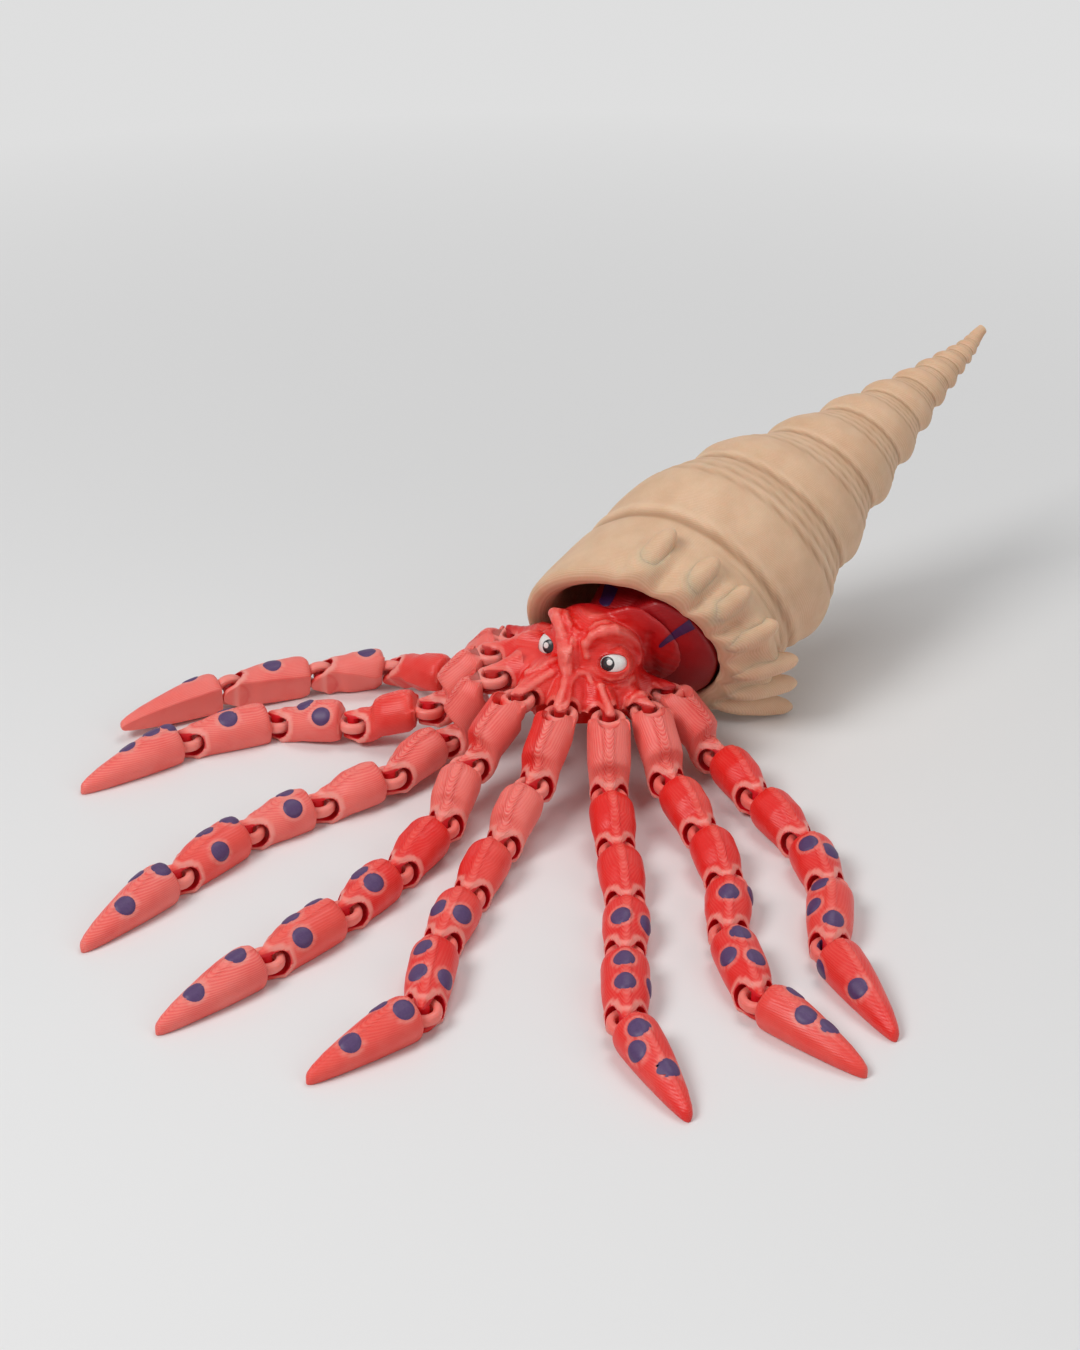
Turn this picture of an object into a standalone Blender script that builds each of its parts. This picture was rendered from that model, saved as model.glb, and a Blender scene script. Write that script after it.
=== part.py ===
"""Articulated squid figurine: a head with eight jointed arms, living in a long spiral shell.

Metres, +Z up. The figurine lies on the plane z = 0 and looks toward -Y, a little to -X.
Headings are degrees about +Z: 0 points to -Y (toward the viewer) and 90 to +X.
"""
import math

import bmesh
import bpy
from mathutils import Matrix, Vector

MM = 0.001
UP = Vector((0.0, 0.0, 1.0))

# Joint between two links: a ring of the outer link hangs on the upright bar in the inner link's nose
BAR_RADIUS = 1.3 * MM
RING_RUN_GAP = 0.6 * MM
RING_WIDTH = 1.7 * MM
RING_THICK = 2.2 * MM
SLOT_SIDE_GAP = 0.5 * MM
SLOT_LEVEL_GAP = 0.5 * MM
FLOOR_THICK = 1.4 * MM
ROOF_THICK = 1.3 * MM
RING_INNER = BAR_RADIUS + RING_RUN_GAP
RING_OUTER = RING_INNER + RING_WIDTH
SLOT_RADIUS = RING_OUTER + SLOT_SIDE_GAP
SLOT_HEIGHT = RING_THICK + 2 * SLOT_LEVEL_GAP
AXIS_HEIGHT = FLOOR_THICK + SLOT_HEIGHT / 2
NOSE_HEIGHT = FLOOR_THICK + SLOT_HEIGHT + ROOF_THICK
RING_SIDES = 8
SLOT_SIDES = 10

# One link of an arm, as half widths and heights above its flat underside
LINK_HALF_WIDTH = 4.5 * MM
LINK_HEIGHT = 8.2 * MM
NOSE_HALF_WIDTH = 2.6 * MM
NOSE_TIP_HALF_WIDTH = 0.8 * MM
NOSE_REACH = BAR_RADIUS + 0.8 * MM
BODY_FRONT_GAP = 0.5 * MM
BODY_FRONT = NOSE_REACH + BODY_FRONT_GAP
NOSE_ROOT = SLOT_RADIUS + 0.3 * MM
SHOULDER_STEP = 2.4 * MM
TIP_END_HALF_WIDTH = 0.9 * MM
TIP_END_HEIGHT = 2.2 * MM

# Arms: joint spacings from the head outward, the heading of each link, and how far the first link
# of each arm comes down from the height of the hooks
FIRST_SPACING = 17.3 * MM
MIDDLE_SPACING = 16.45 * MM
LAST_SPACING = 20.0 * MM
TIP_LENGTH = 25.4 * MM
ARM_HEADINGS = {
    1: (-104, -124, -84, -70, -62),
    2: (-76, -95, -99, -67, -50),
    3: (-80, -40, -58, -53, -37, -36),
    4: (-45, -17, -31, -33, -41, -44),
    5: (-23, -24, -20, -17, -6, -49),
    6: (0, 4, 5, -3, -1, 23),
    7: (17, 22, 12, -4, 12, 43),
    8: (48, 24, 29, 12, -6, 22),
}
FIRST_LINK_DROP = {1: 10.0, 2: 8.5, 3: 11.5, 4: 8.0, 5: 8.0, 6: 10.5, 7: 10.5, 8: 12.0}
SECOND_JOINT_HEIGHT = 4.3 * MM
ROLLED_ARM = 1
ROLLED_ARM_TURNS = (0, 22, 50, 72, 82, 85)
ROLLED_TIP_HEIGHT = 3.3 * MM

# Mouth of the shell: a circle in a leaning plane
MOUTH_CENTRE = Vector((14.8, 28.5, 20.6)) * MM
MOUTH_NORMAL = Vector((-0.351, -0.825, -0.4425)).normalized()

# Head: hooks stand on a circle about the hub, the dome above it leans to the right.
# The hub stands so far in front of the mouth that the rearmost hook clears the mouth's plane.
REAR_HOOK_CLEARANCE = 3.757 * MM
HUB_ACROSS = 4.4 * MM
HUB_HEADING = -27.0
HOOK_RADIUS = 18.6 * MM
HOOK_SPACING = 30.2
HOOK_HEIGHT = 17.0 * MM
HEAD_LEAN = math.tan(math.radians(7.8))
DOME_SHIFT = Vector((3.5, -0.2, 0.0)) * MM
FACE_HEADING = -31.0
SKIRT_RADIUS = 14.0 * MM
DOME_RADIUS = 9.8 * MM
DOME_TOP = 33.0 * MM
DOME_SIDES = 18
EYE_RADIUS = 3.3 * MM
EYE_GAP = 0.3 * MM
EYE_REACH = 8.4 * MM
EYE_HEIGHT = 24.2 * MM
EYE_TURN = 55.5
BROW_HEIGHT = 29.6 * MM

# Shell: a straight axis from the mouth centre to the tip
SHELL_AXIS = Vector((0.700, 0.626, 0.345)).normalized()
SHELL_LENGTH = 116.8 * MM
MOUTH_RADIUS = 18.8 * MM
LIP_WIDTH = 4.8 * MM
LIP_ROUNDING = 1.0 * MM
MOUTH_TWIST_LENGTH = 24.0 * MM
SHELL_SIDES = 20
WHORL_RATIO = 0.775
WHORL_SCALE = 102.0 * MM
WHORL_OFFSET = 3.0 * MM
WHORL_CREST = 0.35
RINGS_PER_WHORL = 3
LAST_WHORL = 11.5
RELIEF_AT_TIP = 0.13
RELIEF_AT_MOUTH = 0.02
SPIKES = (
    (10, 3.5, 9.5), (34, 3.2, 7.5), (54, 3.5, 6.3), (76, 4.2, 5.7),
    (101, 6.0, 6.8), (122, 7.5, 8.5), (137, 12.0, 8.5),
)
SPIKE_START = 4.0 * MM
SPIKE_RADIUS = 2.6 * MM
SPIKE_SIDES = 6
SHELL_WALL = 3.0 * MM
CAVITY_SHARES = (0.12, 0.2, 0.27, 0.33, 0.42, 0.53, 0.62)
CAVITY_END = 0.66
MANTLE_GAP = 0.3 * MM
MANTLE_LENGTH = 46.0 * MM
MANTLE_WAIST = 16.5 * MM
NECK_OFFSET = 1.5 * MM
NECK_GAP = 0.3 * MM
NECK_RADIUS = 11.0 * MM

RED = (0.83, 0.045, 0.03)
PINK = (0.85, 0.16, 0.15)
DARK_RED = (0.24, 0.004, 0.012)
SAND = (0.78, 0.58, 0.41)
WHITE = (0.85, 0.85, 0.82)


def clear_scene():
    """Remove the objects that the scene starts with."""
    for obj in list(bpy.data.objects):
        bpy.data.objects.remove(obj)


def new_collection(name):
    """Make a collection in the scene."""
    made = bpy.data.collections.new(name)
    bpy.context.scene.collection.children.link(made)
    return made


def make_material(name, colour, roughness):
    """Make a Principled material of printed plastic."""
    made = bpy.data.materials.new(name)
    made.use_nodes = True
    shader = made.node_tree.nodes["Principled BSDF"]
    shader.inputs["Base Color"].default_value = (*colour, 1.0)
    shader.inputs["Roughness"].default_value = roughness
    shader.inputs["Metallic"].default_value = 0.0
    return made


def heading_vector(degrees):
    """Horizontal unit vector of a heading."""
    turn = math.radians(degrees)
    return Vector((math.sin(turn), -math.cos(turn), 0.0))


def frame_matrix(centre, axis, direction):
    """Frame at a joint: z along its axis, x along the link as far as the axis allows."""
    x = (direction - axis * direction.dot(axis)).normalized()
    y = axis.cross(x)
    rows = Matrix((x, y, axis)).transposed().to_4x4()
    return Matrix.Translation(centre) @ rows


def smooth_step(t):
    """Ease from 0 to 1."""
    t = min(max(t, 0.0), 1.0)
    return t * t * (3.0 - 2.0 * t)


def table_value(table, x):
    """Straight-line value between the points of a table."""
    for (x0, y0), (x1, y1) in zip(table, table[1:]):
        if x <= x1:
            return y0 + (y1 - y0) * max(x - x0, 0.0) / (x1 - x0)
    return table[-1][1]


def finish_mesh(name, bm, sharp=40.0):
    """Turn a bmesh into a mesh with outward faces, smooth but for its sharp edges."""
    bmesh.ops.recalc_face_normals(bm, faces=bm.faces)
    mesh = bpy.data.meshes.new(name)
    bm.to_mesh(mesh)
    bm.free()
    mesh.shade_smooth()
    mesh.set_sharp_from_angle(angle=math.radians(sharp))
    return mesh


def loft_mesh(name, sections):
    """Closed skin through sections of equal point counts, with flat ends."""
    bm = bmesh.new()
    loops = [[bm.verts.new(point) for point in section] for section in sections]
    count = len(loops[0])
    for first, second in zip(loops, loops[1:]):
        for i in range(count):
            j = (i + 1) % count
            bm.faces.new((first[i], first[j], second[j], second[i]))
    bm.faces.new(reversed(loops[0]))
    bm.faces.new(loops[-1])
    return finish_mesh(name, bm)


def washer_mesh(name, inner, outer, height, sides):
    """A flat ring about the z axis: a rectangle spun through a full turn."""
    bm = bmesh.new()
    corners = ((inner, -height / 2), (outer, -height / 2), (outer, height / 2), (inner, height / 2))
    verts = [bm.verts.new((x, 0.0, z)) for x, z in corners]
    edges = [bm.edges.new((verts[i], verts[(i + 1) % 4])) for i in range(4)]
    bmesh.ops.spin(bm, geom=verts + edges, axis=UP, cent=(0.0, 0.0, 0.0), angle=2 * math.pi,
                   steps=sides, use_merge=True)
    bmesh.ops.remove_doubles(bm, verts=bm.verts, dist=0.01 * MM)
    return finish_mesh(name, bm)


def ball_mesh(name, radius, segments, rings):
    """A sphere."""
    bm = bmesh.new()
    bmesh.ops.create_uvsphere(bm, u_segments=segments, v_segments=rings, radius=radius)
    return finish_mesh(name, bm, 180.0)


def add_object(name, mesh, home, matrix, material=None):
    """Place a mesh as a named object in a collection."""
    obj = bpy.data.objects.new(name, mesh)
    home.objects.link(obj)
    obj.matrix_world = matrix
    if material:
        mesh.materials.append(material)
    return obj


def add_cutter(name, mesh, home, matrix):
    """Place a guide body that only shapes others."""
    obj = add_object(name, mesh, home, matrix)
    obj.display_type = "WIRE"
    obj.hide_render = True
    return obj


def add_boolean(target, operation, other):
    """Cut or join one body with another."""
    modifier = target.modifiers.new(f"{operation} {other.name}", "BOOLEAN")
    modifier.operation = operation
    modifier.object = other


def section_points(half_width, height, shoulder):
    """Eight corners of a link's cross section: y across, z from the joint's height."""
    half = (
        (0.72 * half_width, 0.0), (half_width, 0.42 * height),
        (0.80 * half_width, shoulder * height), (0.22 * half_width, height),
    )
    right = [(y, z - AXIS_HEIGHT) for y, z in half]
    left = [(-y, z) for y, z in reversed(right)]
    return right + left


def link_stations(length):
    """Cross sections of a link with a nose: place, half width, height, shoulder share."""
    return (
        (BODY_FRONT, 0.80 * LINK_HALF_WIDTH, 0.88 * LINK_HEIGHT, 0.75),
        (BODY_FRONT + SHOULDER_STEP, LINK_HALF_WIDTH, LINK_HEIGHT, 0.75),
        (0.58 * length, 0.96 * LINK_HALF_WIDTH, 0.93 * LINK_HEIGHT, 0.75),
        (length - NOSE_ROOT, 0.78 * LINK_HALF_WIDTH, 0.82 * LINK_HEIGHT, 0.80),
        (length - BAR_RADIUS, NOSE_HALF_WIDTH, NOSE_HEIGHT, 0.90),
        (length + NOSE_REACH, NOSE_TIP_HALF_WIDTH, 0.90 * NOSE_HEIGHT, 0.90),
    )


def tip_stations(length):
    """Cross sections of the last link of an arm, which tapers to a blunt point."""
    return (
        (BODY_FRONT, 0.80 * LINK_HALF_WIDTH, 0.86 * LINK_HEIGHT, 0.75),
        (BODY_FRONT + SHOULDER_STEP, 0.97 * LINK_HALF_WIDTH, 0.97 * LINK_HEIGHT, 0.75),
        (0.48 * length, 0.82 * LINK_HALF_WIDTH, 0.80 * LINK_HEIGHT, 0.75),
        (0.80 * length, 0.50 * LINK_HALF_WIDTH, 0.52 * LINK_HEIGHT, 0.75),
        (length, TIP_END_HALF_WIDTH, TIP_END_HEIGHT, 0.75),
    )


def link_sections(start, end, length, stations):
    """Sections of a link: its ring end keeps to the start frame and its nose to the end frame."""
    bend_start = BODY_FRONT
    bend_end = length - NOSE_ROOT
    sections = []
    for place, half_width, height, shoulder in stations:
        share = smooth_step((place - bend_start) / (bend_end - bend_start))
        section = []
        for y, z in section_points(half_width, height, shoulder):
            near = start @ Vector((place, y, z))
            far = end @ Vector((place - length, y, z))
            section.append(near.lerp(far, share))
        sections.append(section)
    return sections


def rolled_height(turn):
    """Height at which a link rolled on its side still clears the table."""
    roll = math.radians(turn)
    flat_corner = 0.72 * LINK_HALF_WIDTH * math.sin(roll) + AXIS_HEIGHT * math.cos(roll)
    side_drop = 0.42 * LINK_HEIGHT - AXIS_HEIGHT
    side_corner = LINK_HALF_WIDTH * math.sin(roll) - side_drop * math.cos(roll)
    return max(flat_corner, side_corner)


def hook_reach(arm):
    """Heading of a hook and its way from the hub's foot."""
    heading = HUB_HEADING + (arm - 4.5) * HOOK_SPACING
    out = heading_vector(heading) * HOOK_RADIUS
    height = HOOK_HEIGHT - HEAD_LEAN * out.x
    return heading, out + UP * height


def hub_place():
    """Foot of the hub, in front of the mouth by the rearmost hook's clearance."""
    rear = hook_reach(1)[1] + Vector((HUB_ACROSS, 0.0, 0.0)) - MOUTH_CENTRE
    forward = (REAR_HOOK_CLEARANCE - rear.dot(MOUTH_NORMAL)) / MOUTH_NORMAL.y
    return Vector((HUB_ACROSS, forward, 0.0))


HUB = hub_place()
DOME_CENTRE = HUB + DOME_SHIFT


def hook_place(arm):
    """Heading and centre of the joint between the head and an arm."""
    heading, reach = hook_reach(arm)
    return heading, HUB + reach


def arm_spacings(arm):
    """Joint spacings of an arm, ending with its tip's length."""
    links = len(ARM_HEADINGS[arm])
    return [FIRST_SPACING] + [MIDDLE_SPACING] * (links - 3) + [LAST_SPACING, TIP_LENGTH]


def arm_heights(arm):
    """Heights of an arm's joints and of the end of its tip."""
    links = len(ARM_HEADINGS[arm])
    first = max(HOOK_HEIGHT - FIRST_LINK_DROP[arm] * MM, AXIS_HEIGHT)
    if arm == ROLLED_ARM:
        rest = [rolled_height(turn) for turn in ROLLED_ARM_TURNS[2:links]]
        return [hook_place(arm)[1].z, first] + rest + [ROLLED_TIP_HEIGHT]
    second = max(SECOND_JOINT_HEIGHT, AXIS_HEIGHT)
    return [hook_place(arm)[1].z, first, second] + [AXIS_HEIGHT] * (links - 2)


def arm_centres(arm):
    """Centres of an arm's joints and the end of its tip."""
    centres = [hook_place(arm)[1]]
    heights = arm_heights(arm)
    for heading, spacing, height in zip(ARM_HEADINGS[arm], arm_spacings(arm), heights[1:]):
        drop = centres[-1].z - height
        step = heading_vector(heading) * math.sqrt(max(spacing ** 2 - drop ** 2, (0.2 * spacing) ** 2))
        centres.append(centres[-1] + step - UP * drop)
    return centres


def arm_axes(arm):
    """Joint axes of an arm, and the upright of its tip's end."""
    headings = ARM_HEADINGS[arm]
    if arm != ROLLED_ARM:
        return [UP.copy() for _ in range(len(headings) + 1)]
    axes = []
    for k, turn in enumerate(ROLLED_ARM_TURNS):
        before = headings[max(k - 1, 0)]
        after = headings[min(k, len(headings) - 1)]
        mean = heading_vector((before + after) / 2)
        axes.append(Matrix.Rotation(math.radians(turn), 3, mean) @ UP)
    return axes


def add_link(arm, number, frames, length, shapes, home, cutters, material):
    """One link: a lofted body, the ring at its inner end and the barred nose at its outer end."""
    start, end = frames
    last = number == len(ARM_HEADINGS[arm])
    stations = tip_stations(length) if last else link_stations(length)
    name = f"arm_{arm}_link_{number}"
    mesh = loft_mesh(name, link_sections(start, end, length, stations))
    mesh.transform(start.inverted())
    obj = add_object(name, mesh, home, start, material)
    if not last:
        add_boolean(obj, "DIFFERENCE", add_cutter(f"{name}_slot", shapes["slot"], cutters, end))
    add_boolean(obj, "UNION", add_cutter(f"{name}_ring", shapes["ring"], cutters, start))


def add_arm(arm, shapes, home, cutters, materials):
    """All links of an arm, each with its origin on its inner joint's axis."""
    centres = arm_centres(arm)
    axes = arm_axes(arm)
    spacings = arm_spacings(arm)
    pale = len(spacings) - 5
    for k, spacing in enumerate(spacings):
        direction = centres[k + 1] - centres[k]
        start = frame_matrix(centres[k], axes[k], direction)
        end = frame_matrix(centres[k + 1], axes[k + 1], direction)
        material = materials["pink"] if k <= pale else materials["red"]
        add_link(arm, k + 1, (start, end), spacing, shapes, home, cutters, material)


def hook_nose_mesh(arm):
    """A nose of the head from the skirt out past the hook's bar."""
    heading, centre = hook_place(arm)
    frame = frame_matrix(centre, UP, heading_vector(heading))
    stations = (
        (-0.60 * HOOK_RADIUS, LINK_HALF_WIDTH, 1.15 * LINK_HEIGHT, 0.75),
        (-NOSE_ROOT, 0.78 * LINK_HALF_WIDTH, 0.85 * LINK_HEIGHT, 0.80),
        (-BAR_RADIUS, NOSE_HALF_WIDTH, NOSE_HEIGHT, 0.90),
        (NOSE_REACH, NOSE_TIP_HALF_WIDTH, 0.90 * NOSE_HEIGHT, 0.90),
    )
    sections = []
    for place, half_width, height, shoulder in stations:
        points = section_points(half_width, height, shoulder)
        sections.append([frame @ Vector((place, y, z)) for y, z in points])
    return loft_mesh(f"hook_nose_{arm}", sections)


def hook_slots_mesh(slot):
    """The eight hook slots as one cutter."""
    bm = bmesh.new()
    for arm in ARM_HEADINGS:
        heading, centre = hook_place(arm)
        copy = slot.copy()
        copy.transform(frame_matrix(centre, UP, heading_vector(heading)))
        bm.from_mesh(copy)
        bpy.data.meshes.remove(copy)
    return finish_mesh("hook_slots", bm)


def circle(centre, normal, radius, sides):
    """Points of a circle, the first one at its top."""
    top = (UP - normal * UP.dot(normal)).normalized()
    side = normal.cross(top)
    points = []
    for i in range(sides):
        turn = 2 * math.pi * i / sides
        points.append(centre + (top * math.cos(turn) + side * math.sin(turn)) * radius)
    return points


def dome_mesh():
    """Skirt and dome of the head: level rings whose centre moves from the hub to the dome."""
    waist = HOOK_HEIGHT + ROOF_THICK
    rings = (
        (HOOK_HEIGHT - 6.5 * MM, 0.68 * SKIRT_RADIUS), (HOOK_HEIGHT - 4.5 * MM, 0.90 * SKIRT_RADIUS),
        (HOOK_HEIGHT - 1.5 * MM, SKIRT_RADIUS), (waist, 0.95 * SKIRT_RADIUS),
        (waist + 2.5 * MM, 1.16 * DOME_RADIUS), (EYE_HEIGHT, 1.02 * DOME_RADIUS),
        (EYE_HEIGHT + 3.2 * MM, 0.98 * DOME_RADIUS), (DOME_TOP - 3.4 * MM, 0.84 * DOME_RADIUS),
        (DOME_TOP - 1.2 * MM, 0.58 * DOME_RADIUS), (DOME_TOP, 0.22 * DOME_RADIUS),
    )
    sections = []
    for height, radius in rings:
        share = smooth_step((height - HOOK_HEIGHT) / (EYE_HEIGHT - HOOK_HEIGHT))
        centre = HUB.lerp(DOME_CENTRE, share) + UP * height
        turns = [360.0 * i / DOME_SIDES for i in range(DOME_SIDES)]
        sections.append([centre + heading_vector(turn) * radius for turn in turns])
    return loft_mesh("head", sections)


def neck_mesh():
    """Short neck from the dome back to the plane where the mantle begins."""
    back = MOUTH_CENTRE + MOUTH_NORMAL * 0.5 * NECK_OFFSET
    front = DOME_CENTRE + UP * EYE_HEIGHT
    middle = front.lerp(back, 0.5)
    sections = [
        circle(front, -MOUTH_NORMAL, 0.6 * NECK_RADIUS, 16),
        circle(middle, -MOUTH_NORMAL, 0.9 * NECK_RADIUS, 16),
        circle(back, -MOUTH_NORMAL, NECK_RADIUS, 16),
    ]
    return loft_mesh("neck", sections)


def behind_neck_mesh():
    """Everything behind the neck plane, as a cutter for the head."""
    bm = bmesh.new()
    size = 4 * MOUTH_RADIUS
    bmesh.ops.create_cube(bm, size=size)
    mesh = finish_mesh("behind_neck", bm)
    centre = MOUTH_CENTRE + MOUTH_NORMAL * (NECK_OFFSET - size / 2)
    mesh.transform(frame_matrix(centre, MOUTH_NORMAL, UP))
    return mesh


def blob_mesh(name, centre, direction, radii):
    """An ellipsoid whose local x axis points along a direction."""
    mesh = ball_mesh(name, 1.0, 10, 8)
    mesh.transform(Matrix.Diagonal((*radii, 1.0)))
    mesh.transform(frame_matrix(centre, UP, direction))
    return mesh


def face_place(turn, reach, height):
    """A point of the face, by its turn from the middle of the face."""
    return DOME_CENTRE + heading_vector(FACE_HEADING + turn) * reach + UP * height


def add_head(shapes, home, cutters, material):
    """Head: dome and skirt with noses, brows and snout, cut by the slots, eyes and neck plane."""
    place = Matrix.Translation(HUB)
    head = add_object("head", dome_mesh(), home, place, material)
    head.data.transform(place.inverted())
    for arm in ARM_HEADINGS:
        nose = add_cutter(f"head_nose_{arm}", hook_nose_mesh(arm), cutters, Matrix.Identity(4))
        add_boolean(head, "UNION", nose)
    add_boolean(head, "UNION", add_cutter("head_neck", neck_mesh(), cutters, Matrix.Identity(4)))
    for side in (-1, 1):
        turn = side * 0.80 * EYE_TURN
        centre = face_place(turn, 0.82 * EYE_REACH, BROW_HEIGHT)
        facing = heading_vector(FACE_HEADING + turn)
        brow = blob_mesh("brow", centre, facing, (2.6 * MM, 3.6 * MM, 4.2 * MM))
        add_boolean(head, "UNION", add_cutter(f"head_brow_{side}", brow, cutters, Matrix.Identity(4)))
    snout = blob_mesh("snout", face_place(0, 0.95 * DOME_RADIUS, EYE_HEIGHT - 1.0 * MM),
                      heading_vector(FACE_HEADING), (2.8 * MM, 2.0 * MM, 6.0 * MM))
    add_boolean(head, "UNION", add_cutter("head_snout", snout, cutters, Matrix.Identity(4)))
    for side in (-1, 1):
        socket = ball_mesh("socket", EYE_RADIUS + EYE_GAP, 12, 8)
        spot = Matrix.Translation(face_place(side * EYE_TURN, EYE_REACH, EYE_HEIGHT))
        add_boolean(head, "DIFFERENCE", add_cutter(f"head_socket_{side}", socket, cutters, spot))
    slots = add_cutter("head_slots", hook_slots_mesh(shapes["slot"]), cutters, Matrix.Identity(4))
    add_boolean(head, "DIFFERENCE", slots)
    behind = add_cutter("head_behind", behind_neck_mesh(), cutters, Matrix.Identity(4))
    add_boolean(head, "DIFFERENCE", behind)


def add_eyes(home, material):
    """Two eyeballs in their sockets."""
    for name, side in (("eye_left", -1), ("eye_right", 1)):
        spot = Matrix.Translation(face_place(side * EYE_TURN, EYE_REACH, EYE_HEIGHT))
        add_object(name, ball_mesh(name, EYE_RADIUS, 12, 8), home, spot, material)


def shell_normal(place):
    """Normal of the shell's ring at a place on its axis: it leans like the mouth at first."""
    share = smooth_step(place / MOUTH_TWIST_LENGTH)
    return (-MOUTH_NORMAL).lerp(SHELL_AXIS, share).normalized()


def shell_radius(place):
    """Smooth outer radius of the shell, without its whorls."""
    lip = MOUTH_RADIUS + LIP_WIDTH
    table = (
        (0.0, lip), (0.095, lip + 0.7 * MM), (0.19, lip), (0.26, 0.985 * lip),
        (0.31, 0.955 * lip), (0.415, 0.775 * lip), (0.525, 0.59 * lip), (0.67, 0.405 * lip),
        (0.80, 0.235 * lip), (0.925, 0.11 * lip), (1.0, 0.045 * lip),
    )
    return table_value(table, place / SHELL_LENGTH)


def whorl_relief(place, turn):
    """Swelling of the whorls: deeper toward the tip, one step a turn."""
    from_tip = SHELL_LENGTH - place
    steps = math.log((from_tip + WHORL_OFFSET) / WHORL_SCALE) / math.log(WHORL_RATIO)
    phase = (steps - turn / (2 * math.pi)) % 1.0
    if phase < WHORL_CREST:
        swell = -math.cos(math.pi * phase / WHORL_CREST)
    else:
        swell = math.cos(math.pi * (phase - WHORL_CREST) / (1 - WHORL_CREST))
    depth = RELIEF_AT_TIP + (RELIEF_AT_MOUTH - RELIEF_AT_TIP) * (from_tip / SHELL_LENGTH) ** 0.6
    return 1.0 + depth * swell * smooth_step(place / (0.08 * SHELL_LENGTH))


def shell_places():
    """Places of the outer rings along the axis: a few for each whorl, closer toward the tip."""
    places = []
    first = math.log((SHELL_LENGTH + WHORL_OFFSET) / WHORL_SCALE) / math.log(WHORL_RATIO)
    count = int((LAST_WHORL - first) * RINGS_PER_WHORL)
    for i in range(1, count):
        steps = first + (LAST_WHORL - first) * i / count
        from_tip = WHORL_SCALE * WHORL_RATIO ** steps - WHORL_OFFSET
        places.append(SHELL_LENGTH - from_tip)
    return [LIP_ROUNDING] + [p for p in places if p > 3 * LIP_ROUNDING] + [SHELL_LENGTH]


def cavity_rings():
    """Places and radii of the shell's cavity: the mouth's collar, then a wall of even thickness."""
    rings = [(1.2 * MM, MOUTH_RADIUS), (5.0 * MM, MOUTH_RADIUS + 0.2 * MM)]
    for share in CAVITY_SHARES:
        place = share * SHELL_LENGTH
        rings.append((place, shell_radius(place) - SHELL_WALL))
    rings.append((CAVITY_END * SHELL_LENGTH, 0.4 * (shell_radius(CAVITY_END * SHELL_LENGTH) - SHELL_WALL)))
    return rings


def shell_mesh():
    """Shell skin: from the tip down the outside, round the lip and up the inside."""
    sections = []
    for place in reversed(shell_places()):
        ring = circle(MOUTH_CENTRE + SHELL_AXIS * place, shell_normal(place), 1.0, SHELL_SIDES)
        centre = MOUTH_CENTRE + SHELL_AXIS * place
        points = []
        for i, point in enumerate(ring):
            relief = whorl_relief(place, 2 * math.pi * i / SHELL_SIDES)
            points.append(centre + (point - centre) * shell_radius(place) * relief)
        sections.append(points)
    front = shell_normal(0.0)
    outer = MOUTH_RADIUS + LIP_WIDTH - LIP_ROUNDING
    sections.append(circle(MOUTH_CENTRE, front, outer, SHELL_SIDES))
    sections.append(circle(MOUTH_CENTRE, front, MOUTH_RADIUS + LIP_ROUNDING, SHELL_SIDES))
    for place, radius in cavity_rings():
        centre = MOUTH_CENTRE + SHELL_AXIS * place
        sections.append(circle(centre, shell_normal(place), radius, SHELL_SIDES))
    return loft_mesh("shell", sections)


def spike_mesh(name, turn_degrees, outward, back):
    """A curved spike: a cone lofted from inside the wall to its point."""
    turn = math.radians(turn_degrees)
    normal = shell_normal(SPIKE_START)
    foot = MOUTH_CENTRE + SHELL_AXIS * SPIKE_START
    ring = circle(foot, normal, 1.0, SHELL_SIDES)
    top = (ring[0] - foot).normalized()
    side = normal.cross(top)
    radial = top * math.cos(turn) + side * math.sin(turn)
    base = foot + radial * (shell_radius(SPIKE_START) - 1.2 * MM)
    tip = base + radial * (outward * MM + 1.2 * MM) + SHELL_AXIS * back * MM
    across = SHELL_AXIS.cross(radial).normalized()
    sections = []
    for share, size in ((0.0, 1.0), (0.45, 0.76), (0.85, 0.5), (1.0, 0.22)):
        bow = math.sin(math.pi * share) * 0.8 * MM
        centre = base.lerp(tip, share) + radial * bow
        along = (tip - base).normalized().cross(across)
        points = []
        for i in range(SPIKE_SIDES):
            angle = 2 * math.pi * i / SPIKE_SIDES
            out = across * math.cos(angle) + along * math.sin(angle)
            points.append(centre + out * SPIKE_RADIUS * size)
        sections.append(points)
    return loft_mesh(name, sections)


def add_shell(home, cutters, material):
    """Shell with its spikes, cut flat where the lip rests on the table."""
    place = Matrix.Translation(MOUTH_CENTRE)
    shell = add_object("shell", shell_mesh(), home, place, material)
    shell.data.transform(place.inverted())
    for i, (turn, outward, back) in enumerate(SPIKES):
        spike = add_cutter(f"shell_spike_{i}", spike_mesh("spike", turn, outward, back), cutters,
                           Matrix.Identity(4))
        add_boolean(shell, "UNION", spike)
    bm = bmesh.new()
    size = 3 * MOUTH_RADIUS
    bmesh.ops.create_cube(bm, size=size)
    table = add_cutter("shell_table", finish_mesh("table", bm), cutters,
                       Matrix.Translation((MOUTH_CENTRE.x, MOUTH_CENTRE.y, -size / 2)))
    add_boolean(shell, "DIFFERENCE", table)


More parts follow.
